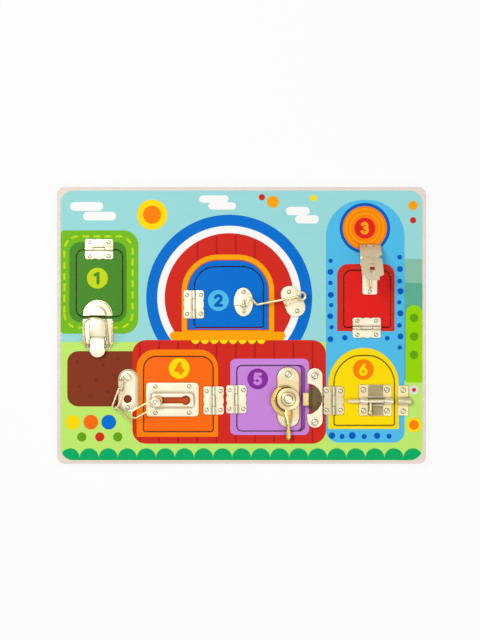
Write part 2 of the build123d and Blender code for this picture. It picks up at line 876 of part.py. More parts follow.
def make_knob():
    """Foot, stem and collar stand in the slot; the neck leans to the dished head."""
    collar_low = channel_rise + seat_gap
    collar_high = collar_low + knob_collar_thick
    foot_low = top + seat_gap
    knob = post(slot_left, channel_y, knob_foot_r, foot_low, foot_low + knob_foot_thick, middle_sides)
    knob += post(slot_left, channel_y, knob_stem_r, foot_low, top + collar_high, small_sides)
    knob += post(slot_left, channel_y, knob_collar_r, top + collar_low, top + collar_high, middle_sides)
    neck = [knob_point(collar_high - knob_collar_thick / 2), knob_point(knob_head_rise + seat_gap)]
    knob += tube(neck, knob_neck_r, small_sides)
    x, y, z = knob_point(knob_head_rise)
    head_top = z + knob_head_thick
    knob += button(x, y, knob_head_r, z, head_top, knob_edge_cut, middle_sides)
    return knob - post(x, y, knob_dish_r, head_top - knob_dish_depth, head_top + cut_extra, middle_sides)


def link(x, y, rise, heading, length, half_width, on_edge):
    """A chain link: a wire stadium, its round ends centred on a place and on a point ahead of it."""
    outline = arc_points(length, 0, half_width, -90, 90, wire_sides)
    outline += arc_points(0, 0, half_width, 90, 270, wire_sides)
    path = [(px, py, 0) for px, py in outline]
    roll = Rot(90, 0, 0) if on_edge else Rot(0, 0, 0)
    return Pos(x, y, top + rise) * Rot(0, 0, heading) * roll * tube(path, link_wire_r, wire_sides, closed=True)


def ahead(x, y, heading, distance):
    turn = math.radians(heading)
    return x + distance * math.cos(turn), y + distance * math.sin(turn)


def make_chain():
    """The anchor's links: each hangs in the round end of the one before it."""
    step = 2 * (link_half_width - link_wire_r) - link_play
    links = {}
    x, y = rivet_x, rivet_y
    for name, size in chain_links.items():
        if links:
            x, y = ahead(x, y, size["heading"], step)
        links[name] = link(x, y, link_rise, half_width=link_half_width, **size)
        x, y = ahead(x, y, size["heading"], size["length"])
    return links


def make_knob_link():
    """The link that the knob's neck carries: its free end lies over the last link of the chain."""
    x, y, _ = knob_point(knob_link_rise)
    slack = knob_link_half_width - link_wire_r - knob_neck_r - knob_link_play
    x, y = ahead(x, y, knob_link_angle, slack)
    return link(x, y, knob_link_rise, knob_link_angle, knob_link_length, knob_link_half_width, False)


def make_anchor():
    """A round-ended plate with a raised face, a hole, and the place for its rivet."""
    plate = slab(stadium(anchor_x, anchor_low, anchor_high, anchor_width), top, anchor_thick)
    inset = anchor_boss_inset
    face = stadium(anchor_x, anchor_low + inset, anchor_high - inset, anchor_width - 2 * inset)
    anchor = plate + slab(face, top, anchor_boss_rise)
    over = top + anchor_boss_rise + cut_extra
    anchor -= post(rivet_x, anchor_hole_y, anchor_hole_r, top - cut_extra, over, middle_sides)
    return anchor - post(rivet_x, rivet_y, rivet_neck_r + turn_clear, top - cut_extra, over, small_sides)


def make_anchor_rivet():
    neck_top = top + rivet_head_low
    neck = post(rivet_x, rivet_y, rivet_neck_r, top, neck_top, small_sides)
    cut_back = rivet_head_thick * rivet_dome_share
    return neck + button(rivet_x, rivet_y, rivet_head_r, neck_top, neck_top + rivet_head_thick, cut_back, middle_sides)


# Latch 5: sash lock


def make_sash_base():
    base = slab(stadium(sash_x, sash_base_low, sash_base_high, sash_base_width), top, sash_base_thick)
    over = top + sash_base_thick + cut_extra
    return base - round_post(sash_x, sash_pivot_y, cam_rivet_r + turn_clear, top - cut_extra, over)


def crescent_sketch():
    """The cam's flange: widest at its middle and drawn to points along the disc."""
    middle = (crescent_from + crescent_to) / 2
    inner_r = cam_disc_r - cam_edge_cut

    def place(r, angle):
        return arc_points(0, 0, r, angle, angle, 1)[0]

    outer = ThreePointArc(
        place(inner_r, crescent_from), place(crescent_outer_r, middle), place(inner_r, crescent_to)
    )
    inner = arc_points(0, 0, inner_r, crescent_to, crescent_from, middle_sides)
    return polygon(curve_points(outer, middle_sides)[:-1] + inner[:-1])


def handle_sketch():
    """The blade from above: a waist, then a swelling to its rounded tip."""
    root_y = -cam_disc_r + handle_root_half
    waist_y = handle_waist_y - sash_pivot_y
    tip_y = handle_tip_y - sash_pivot_y
    side = Spline(
        (handle_root_half, root_y), (handle_waist_half, waist_y), (handle_tip_half, tip_y + handle_tip_r)
    )
    right = curve_points(side, handle_steps)
    left = [(-x, y) for x, y in reversed(right)]
    tip = ThreePointArc(right[-1], (0, tip_y), left[0])
    return polygon(right[:-1] + curve_points(tip, bend_steps) + left[1:])


def make_cam():
    """Disc, boss, crescent flange and the handle blade, which points down the board."""
    cam = button(0, 0, cam_disc_r, cam_disc_low, cam_disc_high, cam_edge_cut, large_sides)
    cam += slab(crescent_sketch(), cam_disc_low, crescent_high - cam_disc_low)
    cam += slab(handle_sketch(), handle_low, handle_high - handle_low)
    cam += post(0, 0, cam_boss_r, cam_disc_low, cam_boss_high, middle_sides)
    cam -= round_post(0, 0, cam_rivet_r + turn_clear, 0, cam_boss_high + cut_extra)
    return Pos(sash_x, sash_pivot_y, top) * cam


def make_cam_rivet():
    high = top + cam_boss_high + seat_gap
    stem = round_post(sash_x, sash_pivot_y, cam_rivet_r, top, high)
    cut_back = cam_rivet_head_thick * rivet_dome_share
    head_top = high + cam_rivet_head_thick
    return stem + button(sash_x, sash_pivot_y, cam_rivet_head_r, high, head_top, cut_back, middle_sides)


def scoop_profile():
    """The scoop seen along Y: it dips below the plate's face and rises to a flat lip."""
    right_rise = keeper_thick - scoop_thick
    lip_rise = scoop_lip_rise + scoop_thick
    under = ThreePointArc(
        (scoop_right_x, right_rise), (scoop_low_x, scoop_low_rise), (scoop_lip_x, scoop_lip_rise)
    )
    over = ThreePointArc(
        (scoop_lip_x + scoop_thick, lip_rise), (scoop_low_x, scoop_low_rise + scoop_thick),
        (scoop_right_x, keeper_thick),
    )
    lip = [(scoop_lip_end_x, scoop_lip_rise), (scoop_lip_end_x, lip_rise)]
    return polygon(curve_points(under, handle_steps) + lip + curve_points(over, handle_steps))


def make_sash_keeper():
    """A round-ended plate with a D-shaped hole, and a scoop that rises to the lip over the cam."""
    plate = slab(stadium(keeper_x, keeper_low, keeper_high, keeper_width), top, keeper_thick)
    hole = round_shape(keeper_hole_x, sash_pivot_y, keeper_hole_r, large_sides)
    plate -= slab(hole, top - cut_extra, keeper_thick + 2 * cut_extra)
    sheet = Pos(0, 0, top) * extrude(Plane.XZ.offset(-sash_pivot_y - keeper_hole_r) * scoop_profile(), 2 * keeper_hole_r)
    seat = round_shape(keeper_hole_x, sash_pivot_y, keeper_hole_r + turn_clear, large_sides)
    side = 2 * keeper_hole_r
    right_part = Pos(keeper_hole_edge_x + keeper_hole_r, sash_pivot_y) * Rectangle(side, side)
    lip_part = Pos(keeper_hole_x, sash_pivot_y) * Rectangle(side, scoop_lip_width)
    window = slab((seat & right_part) + (seat & lip_part), top, 2 * (scoop_lip_rise + scoop_thick))
    return plate + (sheet & window)


# Latch 6: barrel bolt


def arch(low_x, high_x, inner_r, wall, passage_low):
    """A half-round loop along X, standing on the wood, with its passage."""
    outer_r = inner_r + wall
    half = middle_sides // 2
    axis_z = bolt_axis_rise
    block = arc_points(0, axis_z, outer_r, 0, 180, half) + [(-outer_r, 0), (outer_r, 0)]
    if passage_low < axis_z - inner_r:
        passage = arc_points(0, axis_z, inner_r, 0, 180, half) + [(-inner_r, passage_low), (inner_r, passage_low)]
        profile = polygon(block) - polygon(passage)
    else:
        profile = polygon(block) - Pos(0, axis_z) * Circle(inner_r)
    return Pos(0, bolt_axis_y, top) * extrude(Plane.YZ.offset(low_x) * profile, high_x - low_x)


def make_bolt_plate():
    """Plate with the two saddles that guide the rod."""
    sketch = oblong(bolt_plate_x, bolt_plate_y, bolt_plate_width, bolt_plate_height, bolt_plate_corner)
    plate = slab(sketch, top, bolt_plate_thick)
    inner_r = bolt_r + turn_clear
    for low_x, high_x in (saddle_left, saddle_right):
        plate += arch(low_x, high_x, inner_r, saddle_r - inner_r, bolt_axis_rise - inner_r)
    return plate


def make_bolt():
    """The rod with its turned-down knob."""
    z = top + bolt_axis_rise
    length = bolt_right - bolt_left
    bolt = rod((bolt_left + bolt_right) / 2, bolt_axis_y, z, bolt_r, length, "x")
    bolt = chamfer(bolt.edges().filter_by(GeomType.CIRCLE), bolt_end_cut)
    turned = post(0, 0, bolt_knob_r, 0, bolt_knob_length - bolt_knob_ball_r, small_sides)
    levels = [
        (bolt_knob_length - bolt_knob_ball_r, bolt_knob_r),
        (bolt_knob_length, bolt_knob_ball_r),
        (bolt_knob_length + bolt_knob_ball_r, bolt_knob_r),
    ]
    rims = [Plane.XY.offset(z) * RegularPolygon(r, small_sides) for z, r in levels]
    turned += loft(rims[:2]) + loft(rims[1:])
    return bolt + Pos(bolt_knob_x, bolt_axis_y, top + bolt_axis_rise) * Rot(90, 0, 0) * turned


def make_bolt_keeper():
    """Two feet and the loop that the rod enters."""
    middle_x = (bolt_keeper_left + bolt_keeper_right) / 2
    middle_y = (bolt_keeper_high + bolt_keeper_low) / 2
    width = bolt_keeper_right - bolt_keeper_left
    sketch = oblong(middle_x, middle_y, width, bolt_keeper_high - bolt_keeper_low, bolt_plate_corner)
    plate = slab(sketch, top, bolt_plate_thick)
    return plate + arch(bolt_keeper_left, bolt_loop_right, bolt_loop_inner_r, bolt_loop_wall, bolt_plate_thick)


def save_wood():
    save("back_panel", make_back_panel())
    save("front_panel", make_front_panel())
    for door in openings:
        save(door, make_door(door))


def save_hinges():
    board_leaf, door_leaf = hinge_leaves()
    pins = [at_door("door_3") * hasp_rod(hasp_pin_r, hasp_width + 2 * pin_overrun)]
    for door in openings:
        place = hinge_place(door)
        number = door[-1]
        save(f"hinge_{number}_board_leaf", place * board_leaf)
        save(f"hinge_{number}_door_leaf", place * door_leaf)
        pins.append(place * hinge_pin())
    save("hinge_pins", Compound(children=pins))


def save_latch(door, pieces):
    """Save a latch's pieces, moved from their door's own frame to the board's."""
    for node, shape in pieces.items():
        save(node, at_door(door) * shape)


def toggle_pieces():
    springs = [make_spring(side) for side in (-1, 1)]
    return {
        "toggle_strike": make_strike(),
        "toggle_base": make_toggle_base(),
        "toggle_lever_pin": toggle_pin(0, bridge_width + pin_overrun),
        "toggle_lever": make_lever(),
        "toggle_bail": bail_rest(make_bail()),
        "toggle_springs": Compound(children=springs),
    }


def hook_pieces():
    return {
        "hook_plate": make_hook_plate(),
        "hook_staple": staple(*hook_staple_legs(), top + hook_bar_rise, staple_wire_r),
        "hook": make_hook(),
        "eye_plate": make_eye_plate(),
        "eye_staple": staple(*eye_staple_legs(), top + eye_staple_rise, staple_wire_r),
    }


def hasp_pieces():
    return {
        "hasp_leaf": make_hasp_leaf(),
        "hasp_strap": make_strap(),
        "hasp_staple_plate": make_hasp_plate(),
        "hasp_staple": staple(*hasp_staple_legs(), top + hasp_staple_rise, hasp_staple_wire_r),
    }


def chain_pieces():
    return {
        "chain_track": make_track(),
        "chain_knob": make_knob(),
        "chain_knob_link": make_knob_link(),
        "chain_anchor": make_anchor(),
        "chain_rivet": make_anchor_rivet(),
        **make_chain(),
    }


def sash_pieces():
    return {
        "sash_base": make_sash_base(),
        "sash_cam": make_cam(),
        "sash_rivet": make_cam_rivet(),
        "sash_keeper": make_sash_keeper(),
    }


def bolt_pieces():
    return {
        "bolt_plate": make_bolt_plate(),
        "bolt": make_bolt(),
        "bolt_keeper": make_bolt_keeper(),
    }


def main():
    os.makedirs("parts", exist_ok=True)
    print("least gap between the spring's turns, mm:", round(least_spring_gap(), 3))
    save_wood()
    save_hinges()
    save_latch("door_1", toggle_pieces())
    save_latch("door_2", hook_pieces())
    save_latch("door_3", hasp_pieces())
    save_latch("door_4", chain_pieces())
    save_latch("door_5", sash_pieces())
    save_latch("door_6", bolt_pieces())


main()
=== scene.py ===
"""Looks of a wooden latch board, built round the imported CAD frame.

Helpers measure in millimetres and degrees. Latch pieces are placed from the middle of
their door's opening, with z = 0 on the face of the wood.
"""
import math
import bpy
import bmesh
from mathutils import Matrix, Vector


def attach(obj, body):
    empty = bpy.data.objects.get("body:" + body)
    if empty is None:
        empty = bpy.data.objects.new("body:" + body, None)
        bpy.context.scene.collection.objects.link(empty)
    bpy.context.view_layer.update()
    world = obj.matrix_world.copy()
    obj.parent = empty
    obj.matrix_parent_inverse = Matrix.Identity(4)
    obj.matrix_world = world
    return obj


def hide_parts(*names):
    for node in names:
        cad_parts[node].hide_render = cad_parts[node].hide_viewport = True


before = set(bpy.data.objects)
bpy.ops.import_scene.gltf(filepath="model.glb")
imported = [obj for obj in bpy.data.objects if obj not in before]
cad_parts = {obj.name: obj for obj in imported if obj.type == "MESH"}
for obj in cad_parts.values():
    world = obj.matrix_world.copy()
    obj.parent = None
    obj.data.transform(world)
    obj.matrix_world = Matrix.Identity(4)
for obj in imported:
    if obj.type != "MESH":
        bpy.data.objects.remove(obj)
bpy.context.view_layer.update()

MM = 0.001
# Heights of the joint between the panels, the doors' backs and the face of the wood
SPLIT, DOOR_BACK, TOP = 5.0, 5.3, 11.0
BOARD_W, BOARD_H, BOARD_CORNER = 400.0, 300.0, 8.0
DOOR_GAP, DOOR_5_RIGHT_GAP = 1.0, 4.6
MIDDLES = {
    1: (-154.15, 45.7), 2: (-13.7, 30.85), 3: (136.35, 28.8),
    4: (-68.55, -74.55), 5: (31.7, -79.15), 6: (133.05, -70.6),
}
# Openings: width, height, upper corner, lower corner, crown of the top
OPENINGS = {
    1: (51.1, 73.8, 8.0, 8.0, 0.0), 2: (76.0, 67.1, 21.0, 3.0, 1.8), 3: (51.5, 62.8, 9.0, 3.0, 0.0),
    4: (76.5, 82.7, 14.0, 3.0, 0.0), 5: (74.6, 72.1, 6.0, 6.0, 0.0), 6: (66.5, 76.8, 28.0, 3.0, 2.6),
}
# Painted frames: left, right, low, high, upper corner, lower corner, crown
FRAMES = {
    1: (-186.7, -124.8, 3.5, 90.5, 12.0, 12.0, 0.0), 2: (-58.5, 29.0, -4.6, 70.4, 31.0, 0.5, 2.0),
    3: (103.7, 166.0, -6.3, 66.6, 12.0, 1.0, 0.0), 4: (-113.8, -25.5, -120.9, -26.2, 20.0, 0.5, 0.0),
    5: (-12.3, 73.2, -118.9, -36.2, 6.0, 6.0, 0.0), 6: (94.0, 170.6, -112.4, -24.5, 37.0, 0.5, 2.0),
}
# Middles of the number discs
DISCS = {
    1: (-156.4, 51.2), 2: (-25.2, 27.0), 3: (133.7, 105.4),
    4: (-67.6, -46.7), 5: (17.5, -58.1), 6: (132.0, -47.9),
}
# Inks of a door: painted frame, face, floor of the recess, number disc, number
DOOR_INKS = {
    1: ("dark_green", "dark_green", "deep_green", "stitch", "dark_green"),
    2: ("blue", "blue", "deep_blue", "light_blue", "dark_blue"),
    3: ("red", "door_red", "deep_red", "door_red", "amber"),
    4: ("orange", "door_orange", "deep_orange", "yellow", "orange"),
    5: ("lilac", "lilac", "deep_purple", "purple", "lilac"),
    6: ("yellow", "yellow", "deep_yellow", "orange", "yellow"),
}

# The print: its size, the height of one layer of ink and how deep a film reaches into the wood
PRINT_W, PRINT_H, PRINT_CORNER = 392.4, 292.4, 13.5
PRINT_X, PRINT_Y = PRINT_W / 2, PRINT_H / 2
LAYER, FILM_ROOT = 0.025, 0.03
DISC_R = 11.3
RING_X, RING_Y = -13.4, 30.0
STRIP_LEFT, STRIP_LOW, FIELD_TOP = 176.0, -60.0, -18.0
SCALLOPS, SCALLOP_Y = 19, -143.6
STRIPES, STRIPE_START, STRIPE_PITCH, STRIPE_W = 10, -110.4, 20.82, 1.7
STITCH, STITCH_GAP, STITCH_W = 6.5, 5.5, 2.2
# White bars: left, right, y, width
BARS = (
    (-186, -150, 129, 9.5), (-172, -136, 118.5, 9.5), (-46, -14, 137, 8),
    (-36, -6, 129.5, 8), (48, 74, 124, 9), (58, 84, 115, 9),
)
# Bands at the right edge: ink, layer, top
BANDS = (("grey_green", 2, 72), ("sea_green", 2.5, 46))
# Tiles: ink, layer, (left, right, low, high), corner radii from the lower left, steps, doors left open
TILES = (
    ("mid_green", 3.5, (-PRINT_X, -112, -9, 103), (4, 16, 16, 4), 10, (1,)),
    ("brown", 4.7, (-189, -112, -88, -28), (12, 2, 2, 12), 8, ()),
    ("red", 5.4, (-118.4, 91.6, -128.4, -16), (15, 15, 15, 15), 8, (4, 5)),
    ("light_blue", 4.5, (91.6, 176.7, -127.2, 136), (14, 12, 40, 40), 12, (3, 6)),
    ("lime", 4, (178, PRINT_X, -62, 22), (0, 0, 9, 9), 8, ()),
)
# Round spots: ink, layer, then x, y and radius of each
SPOTS = (
    ("yellow", 2, (-97, 120, 16.5)),
    ("orange", 3, (-97, 120, 9.8)),
    ("amber", 3, (34, 134, 6.5), (186, 130, 5.0)),
    ("red", 3, (22, 139, 3.4), (186, 114, 3.4)),
    ("yellow", 3, (78, 138, 3.4)),
    ("dark_brown", 5.5, (-150, -43, 1.6), (-139, -54, 1.4), (-134, -36, 1.3), (-158, -60, 1.5),
     (-146, -72, 1.6), (-178, -40, 1.4), (-176, -66, 1.6), (-164, -77, 1.3)),
    ("yellow", 5, (-183, -105, 8.0)),
    ("door_orange", 5, (-163.5, -105, 8.0)),
    ("blue", 5, (-144, -105, 8.0)),
    ("leaf_green", 5, (-173.3, -121, 5.0), (-134.3, -121, 5.0)),
    ("leaf_green", 5, (187, 8, 4.6), (187, -12, 4.6), (187, -32, 4.6)),
    ("red", 5, (-153.8, -121, 5.0)),
    ("dark_blue", 5.2, (96.6, 70, 2.4), (96.4, 58, 3.2), (96.4, 46, 2.4), (96.8, 33, 3.2),
     (97.2, 22, 2.4), (96.2, 10, 3.2), (97.6, -2, 2.4), (96.4, -15, 3.2), (171.4, 74, 2.6),
     (171.8, 61, 3.2), (171.4, 48, 2.6), (172.4, 37, 3.4), (171, 25, 2.4), (172.2, 13, 3.4),
     (171.2, 0, 2.6), (172.4, -12, 3.2), (171.6, -24, 2.4), (98, -119.5, 3.6), (109, -120.5, 2.8),
     (120, -119.5, 3.8), (133, -120.5, 2.8), (147, -119.8, 3.4), (160, -120.3, 2.8),
     (112, -13.5, 3.0), (158, -14, 2.6)),
    ("dark_blue", 6, (*DISCS[3], 27.5)),
    ("orange", 7, (*DISCS[3], 24.0)),
    ("yellow", 6, (187, -108, 8.0)),
    ("orange", 7, (187, -108, 5.2)),
    ("pale", 6, (187, -70, 5.0)),
    ("red", 7, (187, -70, 2.2)),
)

# Metal: thickness of the pressed plates, how deep a screw's head sits in its plate, rounding of edges
SHEET, SCREW_SEAT = 1.0, 0.05
EDGE, FINE_EDGE = 0.3, 0.28
# How far a hinge's pin stands out at each end
PIN_PROUD = 0.6
# Round heads: radius, height
HINGE_SCREW, HOOK_SCREW, SMALL_SCREW = (1.75, 0.8), (1.9, 0.9), (1.8, 0.8)
SASH_SCREW, BOLT_SCREW = (3.0, 1.1), (2.5, 1.2)
# Hinges: place of the pin's middle and the turn that brings the door side towards +X
HINGES = {
    1: (-154.4, 82.6, -90), 2: (-51.7, 22.7, 0), 3: (135.7, -2.6, 90),
    4: (-30.3, -81.5, 180), 5: (-5.6, -80.2, 0), 6: (99.8, -81.6, 0),
}
# A hinge: half a leaf's length, its pin's radius, its knuckles' radius, which is the pin's height too
LEAF_HALF, HINGE_PIN_R, KNUCKLE_R = 15.25, 0.8, 1.7
HASP_X, HASP_HALF, HASP_PIN_Y, HASP_PIN_R, HASP_PIN_Z = 2.75, 11.65, 56.8, 1.0, 2.0


# Outlines

def arc(x, y, r, start, stop, steps):
    """Points on an arc between two angles."""
    turns = [math.radians(start + (stop - start) * k / steps) for k in range(steps + 1)]
    return [(x + r * math.cos(t), y + r * math.sin(t)) for t in turns]


def circle(x, y, r, steps=40):
    return arc(x, y, r, 0, 360, steps)[:-1]


def fillet(before, corner, after, r):
    """A corner's rounding: its middle, its two ends as seen from there, half the corner's angle."""
    back, on_side = (before - corner).normalized(), (after - corner).normalized()
    half = math.acos(max(-1, min(1, back.dot(on_side)))) / 2
    centre = corner + (back + on_side).normalized() * (r / math.sin(half))
    reach = r / math.tan(half)
    return centre, corner + back * reach - centre, corner + on_side * reach - centre, half


def rounded(corners, steps=7):
    """An outline from corners (x, y, radius)."""
    points = []
    places = [Vector((x, y)) for x, y, _ in corners]
    for i, (x, y, r) in enumerate(corners):
        if r == 0:
            points.append((x, y))
            continue
        centre, start, stop, _ = fillet(places[i - 1], places[i], places[(i + 1) % len(places)], r)
        first = math.degrees(math.atan2(start.y, start.x))
        sweep = (math.degrees(math.atan2(stop.y, stop.x)) - first + 180) % 360 - 180
        points += arc(centre.x, centre.y, r, first, first + sweep, steps)
    return points


def tile(left, right, low, high, radii, steps=7):
    """An upright rectangle; the radii of its corners run from the lower left."""
    places = ((left, low), (right, low), (right, high), (left, high))
    return rounded([(*place, r) for place, r in zip(places, radii)], steps)


def oblong(x, y, w, h, r, steps=7):
    return tile(x - w / 2, x + w / 2, y - h / 2, y + h / 2, (r,) * 4, steps)


def stadium(x, low, high, w, steps):
    r = w / 2
    return arc(x, high - r, r, 0, 180, steps) + arc(x, low + r, r, 180, 360, steps)


def mirrored(half, x):
    """A whole outline from points (distance from x, y) of one half; a third value is kept."""
    return [(x + far, *rest) for far, *rest in half] + [(x - far, *rest) for far, *rest in reversed(half)]


def four_corners(x, y, across, up):
    return [(x + a * across, y + b * up) for a in (-1, 1) for b in (-1, 1)]


def stroke(points, w, caps=8):
    """The outline of a line of width w through the points, with round ends."""
    places = [Vector(p) for p in points]
    left, right = [], []
    for i, p in enumerate(places):
        run = places[min(i + 1, len(places) - 1)] - places[max(i - 1, 0)]
        side = Vector((-run.y, run.x)).normalized() * (w / 2)
        left.append((p + side).to_tuple())
        right.append((p - side).to_tuple())

    def cap(end, before):
        out = end - before
        angle = math.degrees(math.atan2(out.y, out.x))
        return arc(*end, w / 2, angle + 90, angle - 90, caps)[1:-1]

    return left + cap(places[-1], places[-2]) + right[::-1] + cap(places[0], places[1])


def pill(x0, x1, y, w):
    return stroke([(x0 + w / 2, y), (x1 - w / 2, y)], w)


def arched(left, right, low, high, upper, lower, crown):
    """A doorway's outline: its top may be crowned."""
    shoulder = high - crown
    middle, half = (left + right) / 2, (right - left) / 2
    top = [right - (right - left) * k / 8 for k in range(1, 8)]
    top = [(x, shoulder, 0) for x in top if left + upper + 0.1 < x < right - upper - 0.1]
    foot = [(left, low, lower), (right, low, lower)]
    lifted = []
    for x, y in rounded([*foot, (right, shoulder, upper), *top, (left, shoulder, upper)], 9):
        share = max(0.0, (y - shoulder + upper) / max(upper, 0.1))
        lifted.append((x, y + crown * min(share, 1) * (1 - ((x - middle) / half) ** 2)))
    return lifted


def opening(door, gap=0.0, right_gap=None):
    """An opening's outline, or its door's where a gap is given."""
    w, h, upper, lower, crown = OPENINGS[door]
    x, y = MIDDLES[door]
    right = gap if right_gap is None else right_gap
    return arched(
        x - w / 2 + gap, x + w / 2 - right, y - h / 2 + gap, y + h / 2 - gap,
        max(upper - gap, 0.5), max(lower - gap, 0.5), crown,
    )


def frame_shape(door, grow=0.0):
    left, right, low, high, upper, lower, crown = FRAMES[door]
    return arched(
        left - grow, right + grow, low - grow, high + grow,
        max(upper + grow, 0.3), max(lower + grow, 0.3), crown,
    )


# Meshes

def flat(loops, low, high, edge=0.0, steps=3):
    """A flat plate with holes, its edges rounded."""
    curve = bpy.data.curves.new("outline", "CURVE")
    curve.dimensions = "2D"
    curve.fill_mode = "BOTH"
    for loop in loops:
        spline = curve.splines.new("POLY")
        spline.points.add(len(loop) - 1)
        for point, (x, y) in zip(spline.points, loop):
            point.co = (x, y, 0, 1)
        spline.use_cyclic_u = True
    curve.extrude = (high - low) / 2 - edge
    curve.bevel_depth = edge
    curve.bevel_resolution = steps
    curve.offset = -edge
    holder = bpy.data.objects.new("outline", curve)
    bpy.context.collection.objects.link(holder)
    mesh = bpy.data.meshes.new_from_object(holder)
    bpy.data.objects.remove(holder)
    bpy.data.curves.remove(curve)
    return moved(mesh, z=(low + high) / 2)


def pressed(loop, edge=EDGE):
    """A plate of sheet metal on the wood."""
    return flat([loop], 0, SHEET, edge)


def made(bm):
    mesh = bpy.data.meshes.new("part")
    bm.to_mesh(mesh)
    bm.free()
    return mesh


def skin(rings, closed_run=False):
    """Quads between rings of equal count; an open run is capped at both ends."""
    bm = bmesh.new()
    rows = [[bm.verts.new(p) for p in ring] for ring in rings]
    count = len(rows[0])
    for a, b in zip(rows, rows[1:] + rows[:1] if closed_run else rows[1:]):
        for k in range(count):
            n = (k + 1) % count
            bm.faces.new((a[k], a[n], b[n], b[k]))
    if not closed_run:
        bm.faces.new(rows[0][::-1])
        bm.faces.new(rows[-1])
    return made(bm)


def full_turn(sides):
    return [2 * math.pi * k / sides for k in range(sides)]


def spun(profile, sides):
    """Rings about Z from (radius, height) points."""
    return [[(r * math.cos(t), r * math.sin(t), z) for t in full_turn(sides)] for r, z in profile]


def lathe(profile, sides):
    """A turned form about Z; a radius of 0 closes an end."""
    return skin(spun([(max(r, 0.001), z) for r, z in profile], sides))


def ring_solid(profile, sides):
    """A turned ring about Z: the profile is closed and stays off the axis."""
    return skin(spun(profile, sides), closed_run=True)


def pin(half, r, inset=0.3, bevel=0.25):
    """A round pin along Z about its middle, with bevelled ends."""
    end = [(0, half), (r - inset, half), (r, half - bevel)]
    return lathe([(radius, -z) for radius, z in end] + end[::-1], 20)


def knuckle(low, high, r, bore, edge):
    """A rolled sleeve along Z."""
    return ring_solid([
        (bore, low), (r - edge, low), (r, low + edge), (r, high - edge), (r - edge, high), (bore, high),
    ], 28)


def loft(sections):
    """A closed ring of metal through sections (outline, height), back to the first."""
    return skin([[(x, y, z) for x, y in loop] for loop, z in sections], closed_run=True)


def wire(points, r, sides=12, closed=False):
    """A round wire through the points; an open one has round ends."""
    places = [Vector(p) for p in points]
    count = len(places)

    def heading(i):
        if closed:
            return (places[(i + 1) % count] - places[i - 1]).normalized()
        return (places[min(i + 1, count - 1)] - places[max(i - 1, 0)]).normalized()

    side = heading(0).orthogonal().normalized()
    rings = []
    for i, place in enumerate(places):
        run = heading(i)
        side = (side - run * side.dot(run)).normalized()
        up = run.cross(side)
        rings.append([place + (side * math.cos(t) + up * math.sin(t)) * r for t in full_turn(sides)])
    if closed:
        return skin(rings, closed_run=True)

    def cap(i, push):
        """Ever smaller rings that round off an end."""
        centre = places[i]
        turns = [math.radians(angle) for angle in (35, 65, 85)]
        return [
            [centre + (p - centre) * math.cos(t) + push * r * math.sin(t) for p in rings[i]] for t in turns
        ]

    return skin([*cap(0, -heading(0))[::-1], *rings, *cap(-1, heading(count - 1))])


def bent(points, radius, steps=7):
    """Round the inner corners of a path in space."""
    places = [Vector(p) for p in points]
    path = [places[0]]
    for before, corner, after in zip(places, places[1:], places[2:]):
        centre, start, stop, half = fillet(before, corner, after, radius)
        sweep = math.pi - 2 * half
        for k in range(steps + 1):
            share = k / steps
            from_start = math.sin((1 - share) * sweep) / math.sin(sweep)
            from_stop = math.sin(share * sweep) / math.sin(sweep)
            path.append(centre + start * from_start + stop * from_stop)
    return [*path, places[-1]]


def moved(mesh, x=0.0, y=0.0, z=0.0):
    mesh.transform(Matrix.Translation((x, y, z)))
    return mesh


def turned(mesh, axis, degrees, about=(0, 0, 0)):
    """Turn a mesh about an axis through a place."""
    place = Matrix.Translation(about)
    mesh.transform(place @ Matrix.Rotation(math.radians(degrees), 4, Vector(axis)) @ place.inverted())
    return mesh


def along_x(mesh):
    """Lay a form that stands on Z along +X."""
    return turned(mesh, (0, 1, 0), 90)


def along_y(mesh):
    return turned(mesh, (1, 0, 0), -90)


def bridge(x0, x1, y0, y1):
    """A small block that joins a plate to its knuckle."""
    return flat([tile(x0, x1, y0, y1, (0.1,) * 4, 2)], 0.02, 0.98, 0.06, 2)


def section_x(loops, x0, x1, edge):
    """A section drawn in Y and Z, run along X."""
    mesh = flat(loops, x0, x1, edge, 2)
    mesh.transform(Matrix(((0, 0, 1, 0), (1, 0, 0, 0), (0, 1, 0, 0), (0, 0, 0, 1))))
    return mesh


def section_y(loops, y0, y1, edge):
    """A section drawn in X and Z, run along Y."""
    mesh = flat(loops, -y1, -y0, edge, 2)
    mesh.transform(Matrix(((1, 0, 0, 0), (0, 0, -1, 0), (0, 1, 0, 0), (0, 0, 0, 1))))
    return mesh


# Materials

def linear(colour):
    def channel(v):
        v /= 255
        return v / 12.92 if v <= 0.04045 else ((v + 0.055) / 1.055) ** 2.4
    return tuple(channel(v) for v in colour) + (1.0,)


def shade(colour, share):
    return tuple(min(1.0, c * share) for c in colour[:3]) + (1.0,)


